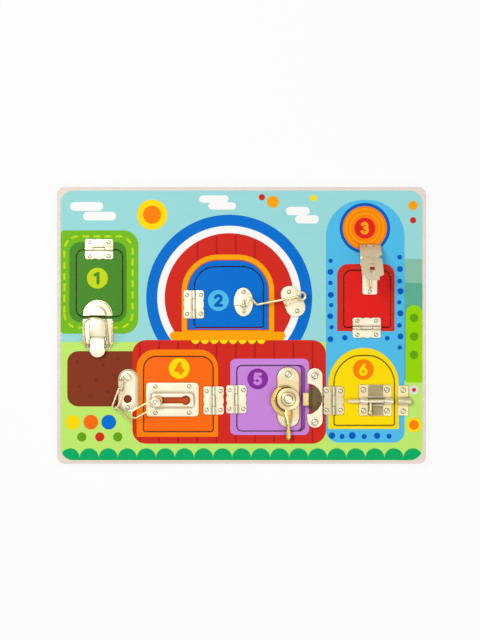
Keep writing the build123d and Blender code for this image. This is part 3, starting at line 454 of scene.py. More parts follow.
class Graph:
    """A node tree in short calls: an input takes a value or another node's output."""

    def __init__(self, owner):
        owner.use_nodes = True
        self.nodes, self.links = owner.node_tree.nodes, owner.node_tree.links

    def put(self, socket, value):
        if isinstance(value, bpy.types.NodeSocket):
            self.links.new(value, socket)
        else:
            socket.default_value = value

    def node(self, kind, **inputs):
        node = self.nodes.new(kind)
        for key, value in inputs.items():
            self.put(node.inputs[key], value)
        return node

    def ramp(self, source, *stops):
        node = self.node("ShaderNodeValToRGB", Fac=source)
        elements = node.color_ramp.elements
        while len(elements) < len(stops):
            elements.new(0.5)
        for element, (position, colour) in zip(elements, stops):
            element.position = position
            element.color = colour
        return node.outputs["Color"]

    def grey(self, source, low, high, start=0.3, stop=0.7):
        return self.ramp(source, (start, (low, low, low, 1)), (stop, (high, high, high, 1)))

    def math(self, kind, a, b):
        node = self.node("ShaderNodeMath")
        node.operation = kind
        self.put(node.inputs[0], a)
        self.put(node.inputs[1], b)
        return node.outputs[0]

    def z_of(self, source):
        return self.node("ShaderNodeSeparateXYZ", Vector=source).outputs["Z"]

    def blend(self, share, first, second, out):
        """Two shaders mixed into an output socket."""
        node = self.node("ShaderNodeMixShader")
        for socket, value in zip(node.inputs, (share, first.outputs[0], second.outputs[0])):
            self.put(socket, value)
        self.put(out, node.outputs[0])


class Shader(Graph):
    """A procedural material: a Principled shader fed by nodes in the object's own space."""

    def __init__(self, name, **constants):
        self.material = bpy.data.materials.new(name)
        super().__init__(self.material)
        self.bsdf = next(n for n in self.nodes if n.type == "BSDF_PRINCIPLED")
        for key, value in constants.items():
            self.feed(key.replace("_", " "), value)
        self.coords = self.node("ShaderNodeTexCoord").outputs

    def feed(self, socket, value):
        self.put(self.bsdf.inputs[socket], value)

    def noise(self, scale, detail=4.0, roughness=0.5, stretch=None):
        source = self.coords["Object"]
        if stretch:
            source = self.node("ShaderNodeMapping", Scale=stretch, Vector=source).outputs["Vector"]
        node = self.node("ShaderNodeTexNoise", Scale=scale, Detail=detail, Roughness=roughness, Vector=source)
        return node.outputs["Fac"]

    def mix(self, factor, a, b):
        node = self.node("ShaderNodeMix")
        node.data_type = "RGBA"
        self.put(node.inputs["Factor"], factor)
        for key, value in (("A", a), ("B", b)):
            self.put(next(s for s in node.inputs if s.name == key and s.type == "RGBA"), value)
        return next(s for s in node.outputs if s.type == "RGBA")

    def shade_mask(self, reach):
        """Ambient occlusion that steers painted shade: near 1 in the open, lower where other surfaces stand
        near.
        """
        node = self.node("ShaderNodeAmbientOcclusion", Distance=reach)
        node.samples = 6
        return node.outputs["AO"]

    def bump(self, source, strength, distance):
        node = self.node("ShaderNodeBump", Strength=strength, Distance=distance, Height=source)
        self.feed("Normal", node.outputs["Normal"])


def print_ink(name, colour):
    """Ink printed on wood under a clear coat: nearly even, with a trace of the grain, and painted shade where
    other surfaces stand near.
    """
    s = Shader("ink_" + name, Specular_IOR_Level=0.06)
    ink = linear(colour)
    grain = s.noise(1.0, 3.0, stretch=(30, 260, 60))
    tint = s.ramp(grain, (0.3, shade(ink, 0.985)), (0.7, shade(ink, 1.01)))
    # painted shade: the ink turns dark where hardware and edges stand near
    painted_shade = s.grey(s.shade_mask(0.0018), 0.75, 0.0, 0.45, 0.92)
    s.feed("Base Color", s.mix(painted_shade, tint, shade(ink, 0.25)))
    s.feed("Roughness", s.grey(s.noise(420), 0.36, 0.46))
    s.bump(grain, strength=0.05, distance=0.00003)
    return s.material


def bare_wood(name, light, dark, lines):
    """Sanded plywood: fine grain along X on the faces, layers on the cut edges."""
    ply_half, steep = 0.00125, 0.45
    s = Shader(name, Specular_IOR_Level=0.2)
    grain = s.noise(1.0, 6.0, 0.6, (9, 170, 120))
    face = s.ramp(grain, (0.25, linear(dark)), (0.75, linear(light)))
    ply = s.math("MULTIPLY", s.math("PINGPONG", s.z_of(s.coords["Object"]), ply_half), 1 / ply_half)
    ends = s.noise(1.0, 3.0, 0.6, (700, 700, 90))
    layers = s.math("ADD", ply, s.math("MULTIPLY", ends, 0.25))
    layers = s.ramp(layers, (0.45, linear(lines)), (0.6, linear(light)))
    up = s.math("GREATER_THAN", s.math("ABSOLUTE", s.z_of(s.coords["Normal"]), 0.0), steep)
    s.feed("Base Color", s.mix(up, layers, face))
    s.feed("Roughness", s.grey(grain, 0.62, 0.5))
    s.bump(grain, strength=0.25, distance=0.0002)
    return s.material


def metal(name, colour, dark, roughness, speckle=0.0, metallic=0.92, crease=0.92):
    """Plated metal: a cloudy tint, fine polishing marks, painted shade in the crevices, a speckle where
    asked; crease sets how dark that painted shade grows.
    """
    s = Shader(name, Metallic=metallic)
    tint = s.ramp(s.noise(60.0, 3.0), (0.3, linear(dark)), (0.7, linear(colour)))
    fine = s.noise(2600.0, 2.0, 0.6)
    if speckle:
        tint = s.mix(s.grey(s.noise(1100.0, 3.0, 0.7), 0.0, speckle), tint, shade(linear(dark), 0.45))
    # painted shade: the tint turns dark brown where other surfaces stand near
    painted_shade = s.grey(s.shade_mask(0.003), crease, 0.0, 0.38, 0.97)
    s.feed("Base Color", s.mix(painted_shade, tint, shade(linear(dark), 0.16)))
    s.feed("Roughness", s.grey(fine, roughness - 0.04, roughness + 0.06))
    s.bump(fine, strength=0.06 + speckle * 0.3, distance=0.000012)
    return s.material


INKS = {
    "pale_blue": (155, 219, 219), "grey_green": (137, 193, 168), "sea_green": (95, 175, 145),
    "field_green": (192, 236, 110), "mid_green": (115, 190, 30), "leaf_green": (100, 165, 12),
    "lime": (150, 215, 0), "dark_green": (75, 140, 45), "stitch": (200, 220, 25), "border": (5, 173, 100),
    "red": (213, 42, 30), "dark_red": (170, 30, 38), "door_red": (228, 32, 30), "orange": (255, 130, 0),
    "door_orange": (255, 108, 15), "amber": (255, 165, 0), "yellow": (255, 222, 0),
    "blue": (0, 112, 210), "light_blue": (80, 190, 235), "dark_blue": (0, 92, 190),
    "lilac": (202, 136, 220), "purple": (135, 45, 155), "brown": (135, 55, 30), "dark_brown": (105, 48, 40),
    "white": (250, 250, 248), "pale": (228, 222, 232), "slot_shade": (196, 84, 40),
    "deep_green": (40, 80, 25), "deep_blue": (0, 45, 110), "deep_red": (110, 15, 15),
    "deep_orange": (150, 60, 10), "deep_purple": (172, 104, 192), "deep_yellow": (170, 130, 0),
}
INK = {name: print_ink(name, colour) for name, colour in INKS.items()}
BACK_WOOD = bare_wood("wood_back", (238, 225, 208), (226, 208, 184), (198, 164, 122))
FRONT_WOOD = bare_wood("wood_front", (239, 227, 215), (229, 213, 198), (200, 168, 128))
BRASS = metal("brass_bright", (250, 243, 218), (242, 231, 198), 0.3)
WIRE_BRASS = metal("brass_wire", (250, 234, 190), (238, 214, 158), 0.26, crease=0.6)
WARM_BRASS = metal("brass_warm", (244, 220, 156), (228, 194, 118), 0.24)
GOLD_BRASS = metal("brass_gold", (244, 216, 140), (216, 170, 82), 0.22)
GRAIN_BRASS = metal("brass_grain", (206, 190, 146), (168, 148, 104), 0.4, speckle=0.8, metallic=0.8)
MATT_BRASS = metal("brass_matt", (244, 233, 198), (228, 213, 170), 0.38, speckle=0.45, metallic=0.75)
# painted shade: a dark brass for the shadow rings round screws and the keeper's hollow scoop
SHADED_BRASS = metal("brass_shaded", (128, 108, 70), (92, 74, 44), 0.34, speckle=0.3, metallic=0.8)
SPRING_STEEL = metal("steel_spring", (226, 220, 200), (190, 182, 160), 0.25)


# Pieces

def piece(name, parts, body, nodes=(), place=None, smooth=38):
    """Join meshes with their materials into one piece that rides on a body."""
    weld, sliver = 0.0005, 0.0002
    whole = bmesh.new()
    materials = []
    for mesh, material in parts:
        if material not in materials:
            materials.append(material)
        own = bmesh.new()
        own.from_mesh(mesh)
        bmesh.ops.remove_doubles(own, verts=own.verts, dist=weld)
        bmesh.ops.dissolve_degenerate(own, edges=own.edges, dist=sliver)
        bmesh.ops.recalc_face_normals(own, faces=own.faces)
        joined = made(own)
        before = len(whole.faces)
        whole.from_mesh(joined)
        whole.faces.ensure_lookup_table()
        for face in whole.faces[before:]:
            face.material_index = materials.index(material)
        bpy.data.meshes.remove(joined)
        bpy.data.meshes.remove(mesh)
    mesh = made(whole)
    mesh.name = name
    if place is not None:
        mesh.transform(place)
    mesh.transform(Matrix.Scale(MM, 4))
    for material in materials:
        mesh.materials.append(material)
    mesh.shade_smooth()
    mesh.set_sharp_from_angle(angle=math.radians(smooth))
    thing = bpy.data.objects.new(name, mesh)
    bpy.context.collection.objects.link(thing)
    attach(thing, body)
    if nodes:
        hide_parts(*nodes)
    return thing


def at_door(door):
    x, y = MIDDLES[door]
    return Matrix.Translation((x, y, TOP))


def on(door, name, parts, body, node):
    """A latch piece, placed from its door's middle."""
    return piece(name, parts, body, (node,), at_door(door))


# Wood

def paint_by_face(thing, choose):
    """Give each face its material by its middle and normal, in millimetres."""
    for face in thing.data.polygons:
        face.material_index = choose(face.center / MM, face.normal)


def rim_ink(middle, normal):
    """The ink's number on the upper edge of an opening, or 0 for bare wood."""
    depth, margin = 0.5, 1.0
    if middle.z < TOP - depth or normal.z <= 0.05:
        return 0
    for door, (x, y) in MIDDLES.items():
        w, h = OPENINGS[door][:2]
        if abs(middle.x - x) < w / 2 + margin and abs(middle.y - y) < h / 2 + margin:
            return door
    return 0


def face_ink(middle, normal):
    """1 for a door's painted face and its rounded edge, 0 for bare wood."""
    return 1 if middle.z > TOP - 0.8 and normal.z > 0.05 else 0


def build_wood():
    outline = oblong(0, 0, BOARD_W, BOARD_H, BOARD_CORNER, 10)
    back = flat([outline], 0, SPLIT, 1.3, 4)
    piece("back_board", [(back, BACK_WOOD)], "board", ("back_panel",))
    front = flat([outline, *(opening(door) for door in OPENINGS)], SPLIT, TOP, 0.45)
    panel = piece("front_board", [(front, FRONT_WOOD)], "board", ("front_panel",))
    floors = []
    for door, (frame_ink, door_ink, floor_ink, _, _) in DOOR_INKS.items():
        panel.data.materials.append(INK[frame_ink])
        floors.append((flat([opening(door, -0.4)], SPLIT - 0.02, SPLIT + 0.03), INK[floor_ink]))
        shape = opening(door, DOOR_GAP, DOOR_5_RIGHT_GAP if door == 5 else DOOR_GAP)
        leaf = piece(
            f"door_{door}_board", [(flat([shape], DOOR_BACK, TOP, 0.5, 4), FRONT_WOOD)],
            f"door {door}", (f"door_{door}",),
        )
        leaf.data.materials.append(INK[door_ink])
        paint_by_face(leaf, face_ink)
    paint_by_face(panel, rim_ink)
    piece("recess_print", floors, "board")


# Print

def digit(number, x, y):
    """Strokes of a plain rounded number, about 13 mm high."""
    w = 3.3
    strokes = {
        1: [[(-2.4, 3.4), (-0.6, 4.2), (0.7, 5.2)], [(0.7, 5.2), (0.7, -5.3)]],
        2: [arc(0, 2.2, 3.1, 165, -38, 16), [(2.44, 0.3), (-3.1, -5.1)], [(-3.1, -5.2), (3.5, -5.2)]],
        3: [arc(-0.3, 2.65, 2.65, 150, -85, 14), arc(-0.3, -2.25, 3.05, 85, -150, 16)],
        4: [[(0.9, 5.3), (-3.6, -2.1)], [(-3.6, -2.3), (3.9, -2.3)], [(1.7, 1.0), (1.7, -5.4)]],
        5: [[(-2.3, 5.2), (3.0, 5.2)], [(-2.3, 5.2), (-2.8, 0.4)], arc(-0.2, -2.0, 3.25, 128, -150, 18)],
        6: [[(0.9, 5.0), (-2.62, -0.54)]],
    }
    loops = [[stroke([(x + px, y + py) for px, py in points], w)] for points in strokes[number]]
    if number == 6:
        bowl_y, bowl_r = y - 2.2, 3.1
        loops.append([circle(x, bowl_y, bowl_r + w / 2), circle(x, bowl_y, bowl_r - w / 2)])
    return loops


def film(loops, level):
    return flat(loops, TOP - FILM_ROOT, TOP + LAYER * level)


def number_disc(door, level):
    x, y = DISCS[door]
    disc_ink, digit_ink = DOOR_INKS[door][3:]
    parts = [(film([circle(x, y, DISC_R)], level), INK[disc_ink])]
    for k, loops in enumerate(digit(door, x, y)):
        parts.append((film(loops, level + 1 + 0.1 * k), INK[digit_ink]))
    return parts


def stitches(loop):
    """Short round-ended strokes along a closed outline."""
    fine = 0.8
    points = [Vector(p) for p in loop] + [Vector(loop[0])]
    run, drawn, current = 0.0, [], []
    for a, b in zip(points, points[1:]):
        steps = max(1, int((b - a).length / fine))
        for k in range(steps):
            p = a.lerp(b, k / steps)
            if run % (STITCH + STITCH_GAP) < STITCH:
                current.append((p.x, p.y))
            elif current:
                drawn.append(current)
                current = []
            run += (b - a).length / steps
    return [stroke(row, STITCH_W, 5) for row in drawn if len(row) > 2]


def stripes():
    """Upright lines on the red field, broken where the doors stand."""
    low_end, field_r, field_half, beside, above = -127.0, 68.0, 47.0, 3.0, 2.5
    loops = []
    for k in range(STRIPES):
        x = STRIPE_START + STRIPE_PITCH * k
        across = abs(x - RING_X)
        high_end = RING_Y + math.sqrt(field_r ** 2 - across ** 2) if across < field_half else FIELD_TOP
        spans = [(low_end, high_end)]
        for door in (2, 4, 5):
            w, h = OPENINGS[door][:2]
            mx, my = MIDDLES[door]
            if abs(x - mx) < w / 2 + beside:
                cut_low, cut_high = my - h / 2 - above, my + h / 2 + above
                parts = [(low, min(high, cut_low)) for low, high in spans]
                parts += [(max(low, cut_high), high) for low, high in spans]
                spans = [(low, high) for low, high in parts if high - low > 1]
        loops += [oblong(x, (low + high) / 2, STRIPE_W, high - low, 0.2, 1) for low, high in spans]
    return loops


def ringed(r):
    """A disc behind door 2, cut off level below."""
    reach = math.degrees(math.asin(50.0 / r))
    return arc(RING_X, RING_Y, r, -reach, 180 + reach, 72)


def scallops():
    """A row of half rounds along the print's lower edge, closed round its corners."""
    pitch = PRINT_W / SCALLOPS
    crest = []
    for k in range(SCALLOPS):
        first, last = (30 if k == 0 else 0), (30 if k == SCALLOPS - 1 else 0)
        crest += arc(pitch * (k + 0.5) - PRINT_X, SCALLOP_Y, pitch / 2 - 0.05, 180 - first, last, 14)
    corner_x, corner_y = PRINT_X - PRINT_CORNER, PRINT_CORNER - PRINT_Y
    right = arc(corner_x, corner_y, PRINT_CORNER, -25, -90, 8)
    return [*crest, *right, *arc(-corner_x, corner_y, PRINT_CORNER, -90, -155, 8)]


def build_board_print():
    """Plain coloured tiles, a large ringed disc, bars, beads and dots."""
    parts = []

    def add(ink, level, *loops, doors=()):
        """A film of ink, left open at the doors named."""
        holes = [frame_shape(door, -2.0) for door in doors]
        parts.append((film([*loops, *holes], level), INK[ink]))

    add("pale_blue", 1, oblong(0, 0, PRINT_W, PRINT_H, PRINT_CORNER, 9), doors=OPENINGS)
    # a bar further down the board is a trace thicker, so that two that meet don't share a height
    for x0, x1, y, w in BARS:
        add("white", 2 + 0.04 * (140 - y), pill(x0, x1, y, w))
    for ink, level, high in BANDS:
        add(ink, level, tile(STRIP_LEFT, PRINT_X, STRIP_LOW - 4, high, (0,) * 4))
    # the pale green field, with a step down at the strip on the right
    add("field_green", 3, rounded([
        (-PRINT_X, -PRINT_Y, PRINT_CORNER), (PRINT_X, -PRINT_Y, PRINT_CORNER), (PRINT_X, STRIP_LOW, 0),
        (STRIP_LEFT, STRIP_LOW, 0), (STRIP_LEFT, FIELD_TOP, 3), (-PRINT_X, FIELD_TOP, 0),
    ], 9), doors=(4, 5, 6))
    for ink, level, box, radii, steps, doors in TILES:
        add(ink, level, tile(*box, radii, steps), doors=doors)
    for ink, level, *spots in SPOTS:
        for x, y, r in spots:
            add(ink, level, circle(x, y, r, 32))
    for loop in stitches(oblong(-155.2, 47.0, 74.0, 99.0, 15, 8)):
        add("stitch", 4.1, loop)
    for ink, level, r in (("blue", 3.6, 90.0), ("white", 4.2, 78.0), ("red", 4.8, 70.0)):
        add(ink, level, ringed(r), doors=(2,))
    for loop in stripes():
        add("dark_red", 6.2, loop)
    # the line round door 2's frame, its shelf and the beads under it
    add("amber", 7, frame_shape(2, 6.4), frame_shape(2, 0.9))
    bead_pitch, bead_start, bead_y, bead_r = 10.2, -50, -15.5, 4.6
    for k in range(8):
        add("yellow", 7.2 + 0.02 * k, circle(bead_start + bead_pitch * k, bead_y, bead_r, 32))
    add("amber", 7.8, pill(-78, 47.5, -11.5, 9.2))
    # the rings on number 3's disc
    line_half = 0.8
    for r in (20.5, 16.0):
        add("amber", 8, circle(*DISCS[3], r + line_half, 48), circle(*DISCS[3], r - line_half, 48))
    add("border", 7, scallops())
    for door, inks in DOOR_INKS.items():
        add(inks[0], 9, frame_shape(door), opening(door, -0.42))
    piece("board_print", parts + number_disc(3, 10), "board")


def build_door_prints():
    """The discs and numbers of the doors, and the shaded patch under the chain's track."""
    for door in (1, 2, 4, 5, 6):
        parts = number_disc(door, 1.5)
        if door == 4:
            x, y = MIDDLES[4]
            parts.append((film([oblong(x + TRACK_X, y + TRACK_Y, 42, 12, 2)], 1), INK["slot_shade"]))
        piece(f"door_{door}_print", parts, f"door {door}")


# Screws and hinges

# Each owner's screw parts, filled as its plates are built
SCREWS = {owner: [] for owner in ("board", *MIDDLES)}


def screw(r, h):
    """A round head with a cross recess, standing on z = 0."""
    count, arm, reach, root = 18, 0.17, 0.62, 0.2
    bm = bmesh.new()
    rows = []
    for j in range(count + 1):
        row = []
        for i in range(count + 1):
            u, v = 2 * i / count - 1, 2 * j / count - 1
            px, py = u * math.sqrt(1 - v * v / 2), v * math.sqrt(1 - u * u / 2)
            near, far = sorted((abs(px), abs(py)))
            pz = h * math.sqrt(max(0.0, 1 - 0.86 * min(1.0, math.hypot(px, py)) ** 2.4))
            if near < arm and far < reach:
                pz -= h * 0.55 * (1 - far / reach * 0.6)
            row.append(bm.verts.new((px * r, py * r, pz)))
        rows.append(row)
    for a, b in zip(rows, rows[1:]):
        for i in range(count):
            bm.faces.new((a[i], a[i + 1], b[i + 1], b[i]))
    right, left = [row[-1] for row in rows[:-1]], [row[0] for row in rows[:0:-1]]
    rim = [*rows[0][:-1], *right, *rows[-1][:0:-1], *left]
    low = [bm.verts.new((v.co.x, v.co.y, -root)) for v in rim]
    for k in range(len(rim)):
        n = (k + 1) % len(rim)
        bm.faces.new((rim[n], rim[k], low[k], low[n]))
    bm.faces.new(low)
    return made(bm)


def add_screws(owner, places, plate_top, size, frame_place):
    """Screws on a plate of a given height, each turned its own way, with a dark ring below that is a painted
    shadow round each head.
    """
    rise = plate_top - SCREW_SEAT
    r, h = size
    for x, y in places:
        head = turned(screw(r, h), (0, 0, 1), (abs(x) * 37 + abs(y) * 53) % 90)
        # painted shadow: a thin ring of dark brass round the foot of each head
        ring = flat([circle(x, y, r + 0.5, 28), circle(x, y, r - 0.2, 28)], rise - 0.1, rise + 0.09)
        for mesh, material in ((moved(head, x, y, rise), BRASS), (ring, SHADED_BRASS)):
            mesh.transform(frame_place)
            SCREWS[owner].append((mesh, material))


def build_screws():
    for owner, parts in SCREWS.items():
        if owner == "board":
            piece("board_screws", parts, "board", smooth=30)
        else:
            piece(f"door_{owner}_screws", parts, f"door {owner}", smooth=30)


def leaf_loop(side):
    """One hinge leaf: the outer edge has shallow scallops."""
    reach, inner, corner, steps = 11.0, 1.95, 2.4, 32
    scallop_y, scallop_half, depth, edge_half = 4.2, 2.3, 0.85, LEAF_HALF - 2.8
    points = [(inner, -LEAF_HALF), *arc(reach - corner, corner - LEAF_HALF, corner, -90, -8, 6)]
    for k in range(steps + 1):
        y = edge_half * (2 * k / steps - 1)
        dip = sum(max(0.0, 1 - ((y - c) / scallop_half) ** 2) ** 2 for c in (-scallop_y, scallop_y))
        points.append((reach - depth * dip, y))
    points += [*arc(reach - corner, LEAF_HALF - corner, corner, 8, 90, 6), (inner, LEAF_HALF)]
    if side < 0:
        points = [(-x, y) for x, y in reversed(points)]
    return points


def build_hinges():
    door_half, board_start = 6.0, 6.3
    screw_x, screw_y = 7.6, 10.2
    pins = []
    for number, (x, y, turn) in HINGES.items():
        brass, slot = (MATT_BRASS, "matt_plate") if number == 6 else (BRASS, "brass_plate")
        place = Matrix.Translation((x, y, TOP)) @ Matrix.Rotation(math.radians(turn), 4, "Z")
        for sign, side, owner, body, knuckles in (
            (1, "door", number, f"door {number}", ((-door_half, door_half),)),
            (-1, "board", "board", "board", ((board_start, LEAF_HALF), (-LEAF_HALF, -board_start))),
        ):
            parts = [pressed(leaf_loop(sign), FINE_EDGE)]
            for low, high in knuckles:
                sleeve = knuckle(low, high, KNUCKLE_R, HINGE_PIN_R + 0.05, 0.22)
                parts.append(moved(along_y(sleeve), z=KNUCKLE_R))
                parts.append(bridge(*sorted((sign * 0.2, sign * 2.3)), low, high))
            parts = [(mesh, brass) for mesh in parts]
            piece(f"hinge_{number}_{side}_side", parts, body, (f"hinge_{number}_{side}_leaf",), place)
            places = [(sign * screw_x, screw_y), (sign * screw_x, -screw_y)]
            add_screws(owner, places, SHEET, HINGE_SCREW, place)
        hinge_pin = moved(along_y(pin(LEAF_HALF + PIN_PROUD, HINGE_PIN_R)), z=KNUCKLE_R)
        hinge_pin.transform(place)
        pins.append((hinge_pin, WARM_BRASS))
    hasp_pin = moved(along_x(pin(HASP_HALF + PIN_PROUD, HASP_PIN_R)), HASP_X, HASP_PIN_Y, HASP_PIN_Z)
    hasp_pin.transform(at_door(3))
    pins.append((hasp_pin, WARM_BRASS))
    piece("hinge_pin_set", pins, "board", ("hinge_pins",))


# Latch 1, spring toggle

TOGGLE_X, TOGGLE_PIN_Y, TOGGLE_PIN_Z = -1.65, -61.2, 3.9
# The bail: its pivot, half its width, its wire and how far it stands above its closed place
BAIL_Y, BAIL_X, BAIL_R, BAIL_RAISED = -68.2, 12.35, 1.1, 48
LEVER_HALF, LEVER_SHEET, SPRING_WIRE = 7.5, 0.9, 0.28


def build_toggle_plates():
    x, strike_y, strike_low = TOGGLE_X, -34.0, -35.6

    def half_round(r, steps):
        return arc(x, strike_y, r, 0, 180, steps) + [(x - r, strike_low), (x + r, strike_low)]

    rim = [(px, py, SHEET) for px, py in arc(x, strike_y, 14.6, 6, 174, 30)]
    on(1, "toggle_strike_plate", [
        (pressed(half_round(15.9, 36)), BRASS), (flat([half_round(8.6, 30)], 0.5, 4.0, 1.3, 5), BRASS),
        (wire(rim, 0.35, 8), WARM_BRASS),
    ], "door 1", "toggle_strike")
    base = rounded(mirrored([(-16.7, -38.8, 2), (-16.7, -64.6, 3), (-12.2, -71.6, 2)], x))
    arch = mirrored([(-7.9, 5.0), (-7.9, 0), (-8.9, 0), (-8.9, 5.2), (-8.6, 5.75), (-8.0, 6.0)], x)
    ear = [(-58.4, 5.0), *arc(-61.0, 3.6, 2.4, 60, 200, 8), (-63.2, 0.6), (-58.4, 0.6)]
    parts = [(pressed(base), BRASS), (section_y([arch], -57.6, -38.8, 0.2), BRASS)]
    for side in (-1, 1):
        ear_x = x + side * 8.4
        fold = [(x + side * 15.6, -40.2, 1.1), (x + side * 15.6, -64.0, 1.1), (x + side * 12.0, -70.2, 1.0)]
        parts.append((section_x([ear], ear_x - 0.5, ear_x + 0.5, 0.15), BRASS))
        parts.append((wire(bent(fold, 2.0), 0.55, 10), WARM_BRASS))
    on(1, "toggle_base_plate", parts, "board", "toggle_base")


def build_toggle_lever():
    x, tab_y, back_y, low = TOGGLE_X, -71.9, -59.9, 5.0
    left, right, front_y = x - LEVER_HALF, x + LEVER_HALF, tab_y + LEVER_SHEET
    axle = moved(along_x(pin(9.2, 0.9, 0.2, 0.2)), x, TOGGLE_PIN_Y, TOGGLE_PIN_Z)
    on(1, "toggle_axle", [(axle, WARM_BRASS)], "board", "toggle_lever_pin")
    tab = arc(x, tab_y, 8.4, 180, 360, 24)
    lever = [(right, front_y), (right, back_y), (left, back_y), (left, front_y), *tab]
    parts = [(flat([lever], low, low + LEVER_SHEET, 0.35, 4), BRASS)]
    flange = [(-69.4, 1.8), (-73.4, 4.6), (-73.4, 5.4), (-60.2, 5.4), (-60.2, 1.8)]
    for start in (left, right - LEVER_SHEET):
        parts.append((section_x([flange], start, start + LEVER_SHEET, 0.12), BRASS))
    on(1, "toggle_lever_plate", parts, "toggle lever", "toggle_lever")


def build_toggle_bail():
    play, bow_y = 0.3, -35.55
    end_x = LEVER_HALF - LEVER_SHEET - play
    right = bent([(end_x, BAIL_Y, 0), (BAIL_X, BAIL_Y, 0), (BAIL_X, bow_y, 0)], 1.4)[:-1]
    bow = [Vector((px, py, 0)) for px, py in arc(0, bow_y, BAIL_X, 0, 180, 36)]
    left = [Vector((-p.x, p.y, p.z)) for p in reversed(right)]
    bail = moved(wire([*right, *bow, *left], BAIL_R, 16), TOGGLE_X, 0, TOGGLE_PIN_Z)
    turned(bail, (1, 0, 0), BAIL_RAISED, (0, BAIL_Y, TOGGLE_PIN_Z))
    on(1, "toggle_bail_wire", [(bail, WIRE_BRASS)], "bail", "toggle_bail")
    coil_r, pitch, turn_steps, points_count = 1.75, 1.0, 24, 55
    inner = LEVER_HALF + play + SPRING_WIRE
    springs = []
    for side in (-1, 1):
        coil = []
        for k in range(points_count):
            share = k / turn_steps
            across, up = coil_r * math.cos(2 * math.pi * share), coil_r * math.sin(2 * math.pi * share)
            coil.append((TOGGLE_X + side * (inner + pitch * share), BAIL_Y + across, TOGGLE_PIN_Z + up))
        springs.append((wire(coil, SPRING_WIRE, 8), SPRING_STEEL))
    on(1, "toggle_coils", springs, "bail springs", "toggle_springs")


# Latch 2, hook and eye

HOOK_SHEET = 0.9
# The eye at the hook's pivot and the bow at its tip
EYE_X, EYE_Y, EYE_Z, EYE_R = 16.2, -9.65, 5.3, 2.6
TIP_X, TIP_Y, TIP_Z, TIP_R = 74.3, -0.05, 9.0, 4.1


def staple(first, second, bar, r):
    """A wire bow with its feet in the plate and its bar at a height."""
    foot = -0.5
    points = [(*first, foot), (*first, bar), (*second, bar), (*second, foot)]
    return wire(bent(points, 2.0 * r + 0.6, 9), r, 14)


def hook_outline():
    """An oval plate with a shallow notch on either side, where its crease ends."""
    x, y, half_w, half_h, notch_y, notch, notch_half = 15.8, -5.55, 10.4, 15.6, -9.4, 0.9, 0.7
    outline = []
    for px, py in circle(0, 0, 1, 64):
        px, py = x + half_w * px, y + half_h * py
        if abs(px - x) > 8:
            px -= math.copysign(notch, px - x) * max(0, 1 - abs(py - notch_y) / notch_half)
        outline.append((px, py))
    return outline


def build_hook():
    crease = wire([(5.9, -9.4, 0.86), (9.6, -9.4, 0.9), (12.8, -9.4, 0.8)], 0.3, 8)
    on(2, "hook_oval_plate", [
        (flat([hook_outline()], 0, HOOK_SHEET, EDGE), BRASS), (crease, WARM_BRASS),
    ], "door 2", "hook_plate")
    add_screws(2, [(15.8, 5.4)], HOOK_SHEET, HOOK_SCREW, at_door(2))
    bow = staple((EYE_X, -16.45), (EYE_X, -4.25), EYE_Z, 1.0)
    on(2, "hook_staple_wire", [(bow, WIRE_BRASS)], "door 2", "hook_staple")
    start_x = EYE_X + EYE_R

    def height(x):
        return EYE_Z + (TIP_Z - EYE_Z) * (x - start_x) / (TIP_X - start_x)

    eye = [(EYE_X + across, EYE_Y, EYE_Z + up) for across, up in arc(0, 0, EYE_R, 66, 360, 30)]
    bends = [(x, y, height(x)) for x, y in ((22.1, 0.75), (30.3, -8.55))]
    shank = bent([(start_x, EYE_Y, EYE_Z), *bends, (TIP_X, TIP_Y, TIP_Z)], 2.6, 9)
    run = math.atan2(TIP_Y - bends[-1][1], TIP_X - bends[-1][0])
    ring_x, ring_y = TIP_X + TIP_R * math.cos(run), TIP_Y + TIP_R * math.sin(run)
    run = math.degrees(run)
    ring = [(x, y, TIP_Z) for x, y in arc(ring_x, ring_y, TIP_R, run - 180, run + 146, 40)]
    on(2, "hook_rod", [(wire([*eye[:-1], *shank[:-1], *ring], 1.25, 16), WIRE_BRASS)], "hook", "hook")
    # the eye's plate: two round lobes, the lower one larger
    low_x, low_y, low_r, high_x, high_y, high_r = 72.3, -11.05, 10.6, 65.7, 2.55, 9.4
    run = math.degrees(math.atan2(low_y - high_y, low_x - high_x))
    lobes = arc(low_x, low_y, low_r, run - 90, run + 90, 26)
    lobes += arc(high_x, high_y, high_r, run + 90, run + 270, 26)
    on(2, "eye_lobed_plate", [(flat([lobes], 0, HOOK_SHEET, EDGE), BRASS)], "board", "eye_plate")
    add_screws("board", [(65.0, 5.4), (74.1, -15.2)], HOOK_SHEET, HOOK_SCREW, at_door(2))
    bow = staple((61.1, -8.95), (77.3, 0.05), 6.4, 1.0)
    on(2, "eye_staple_wire", [(bow, WIRE_BRASS)], "board", "eye_staple")


# Latch 3, hasp

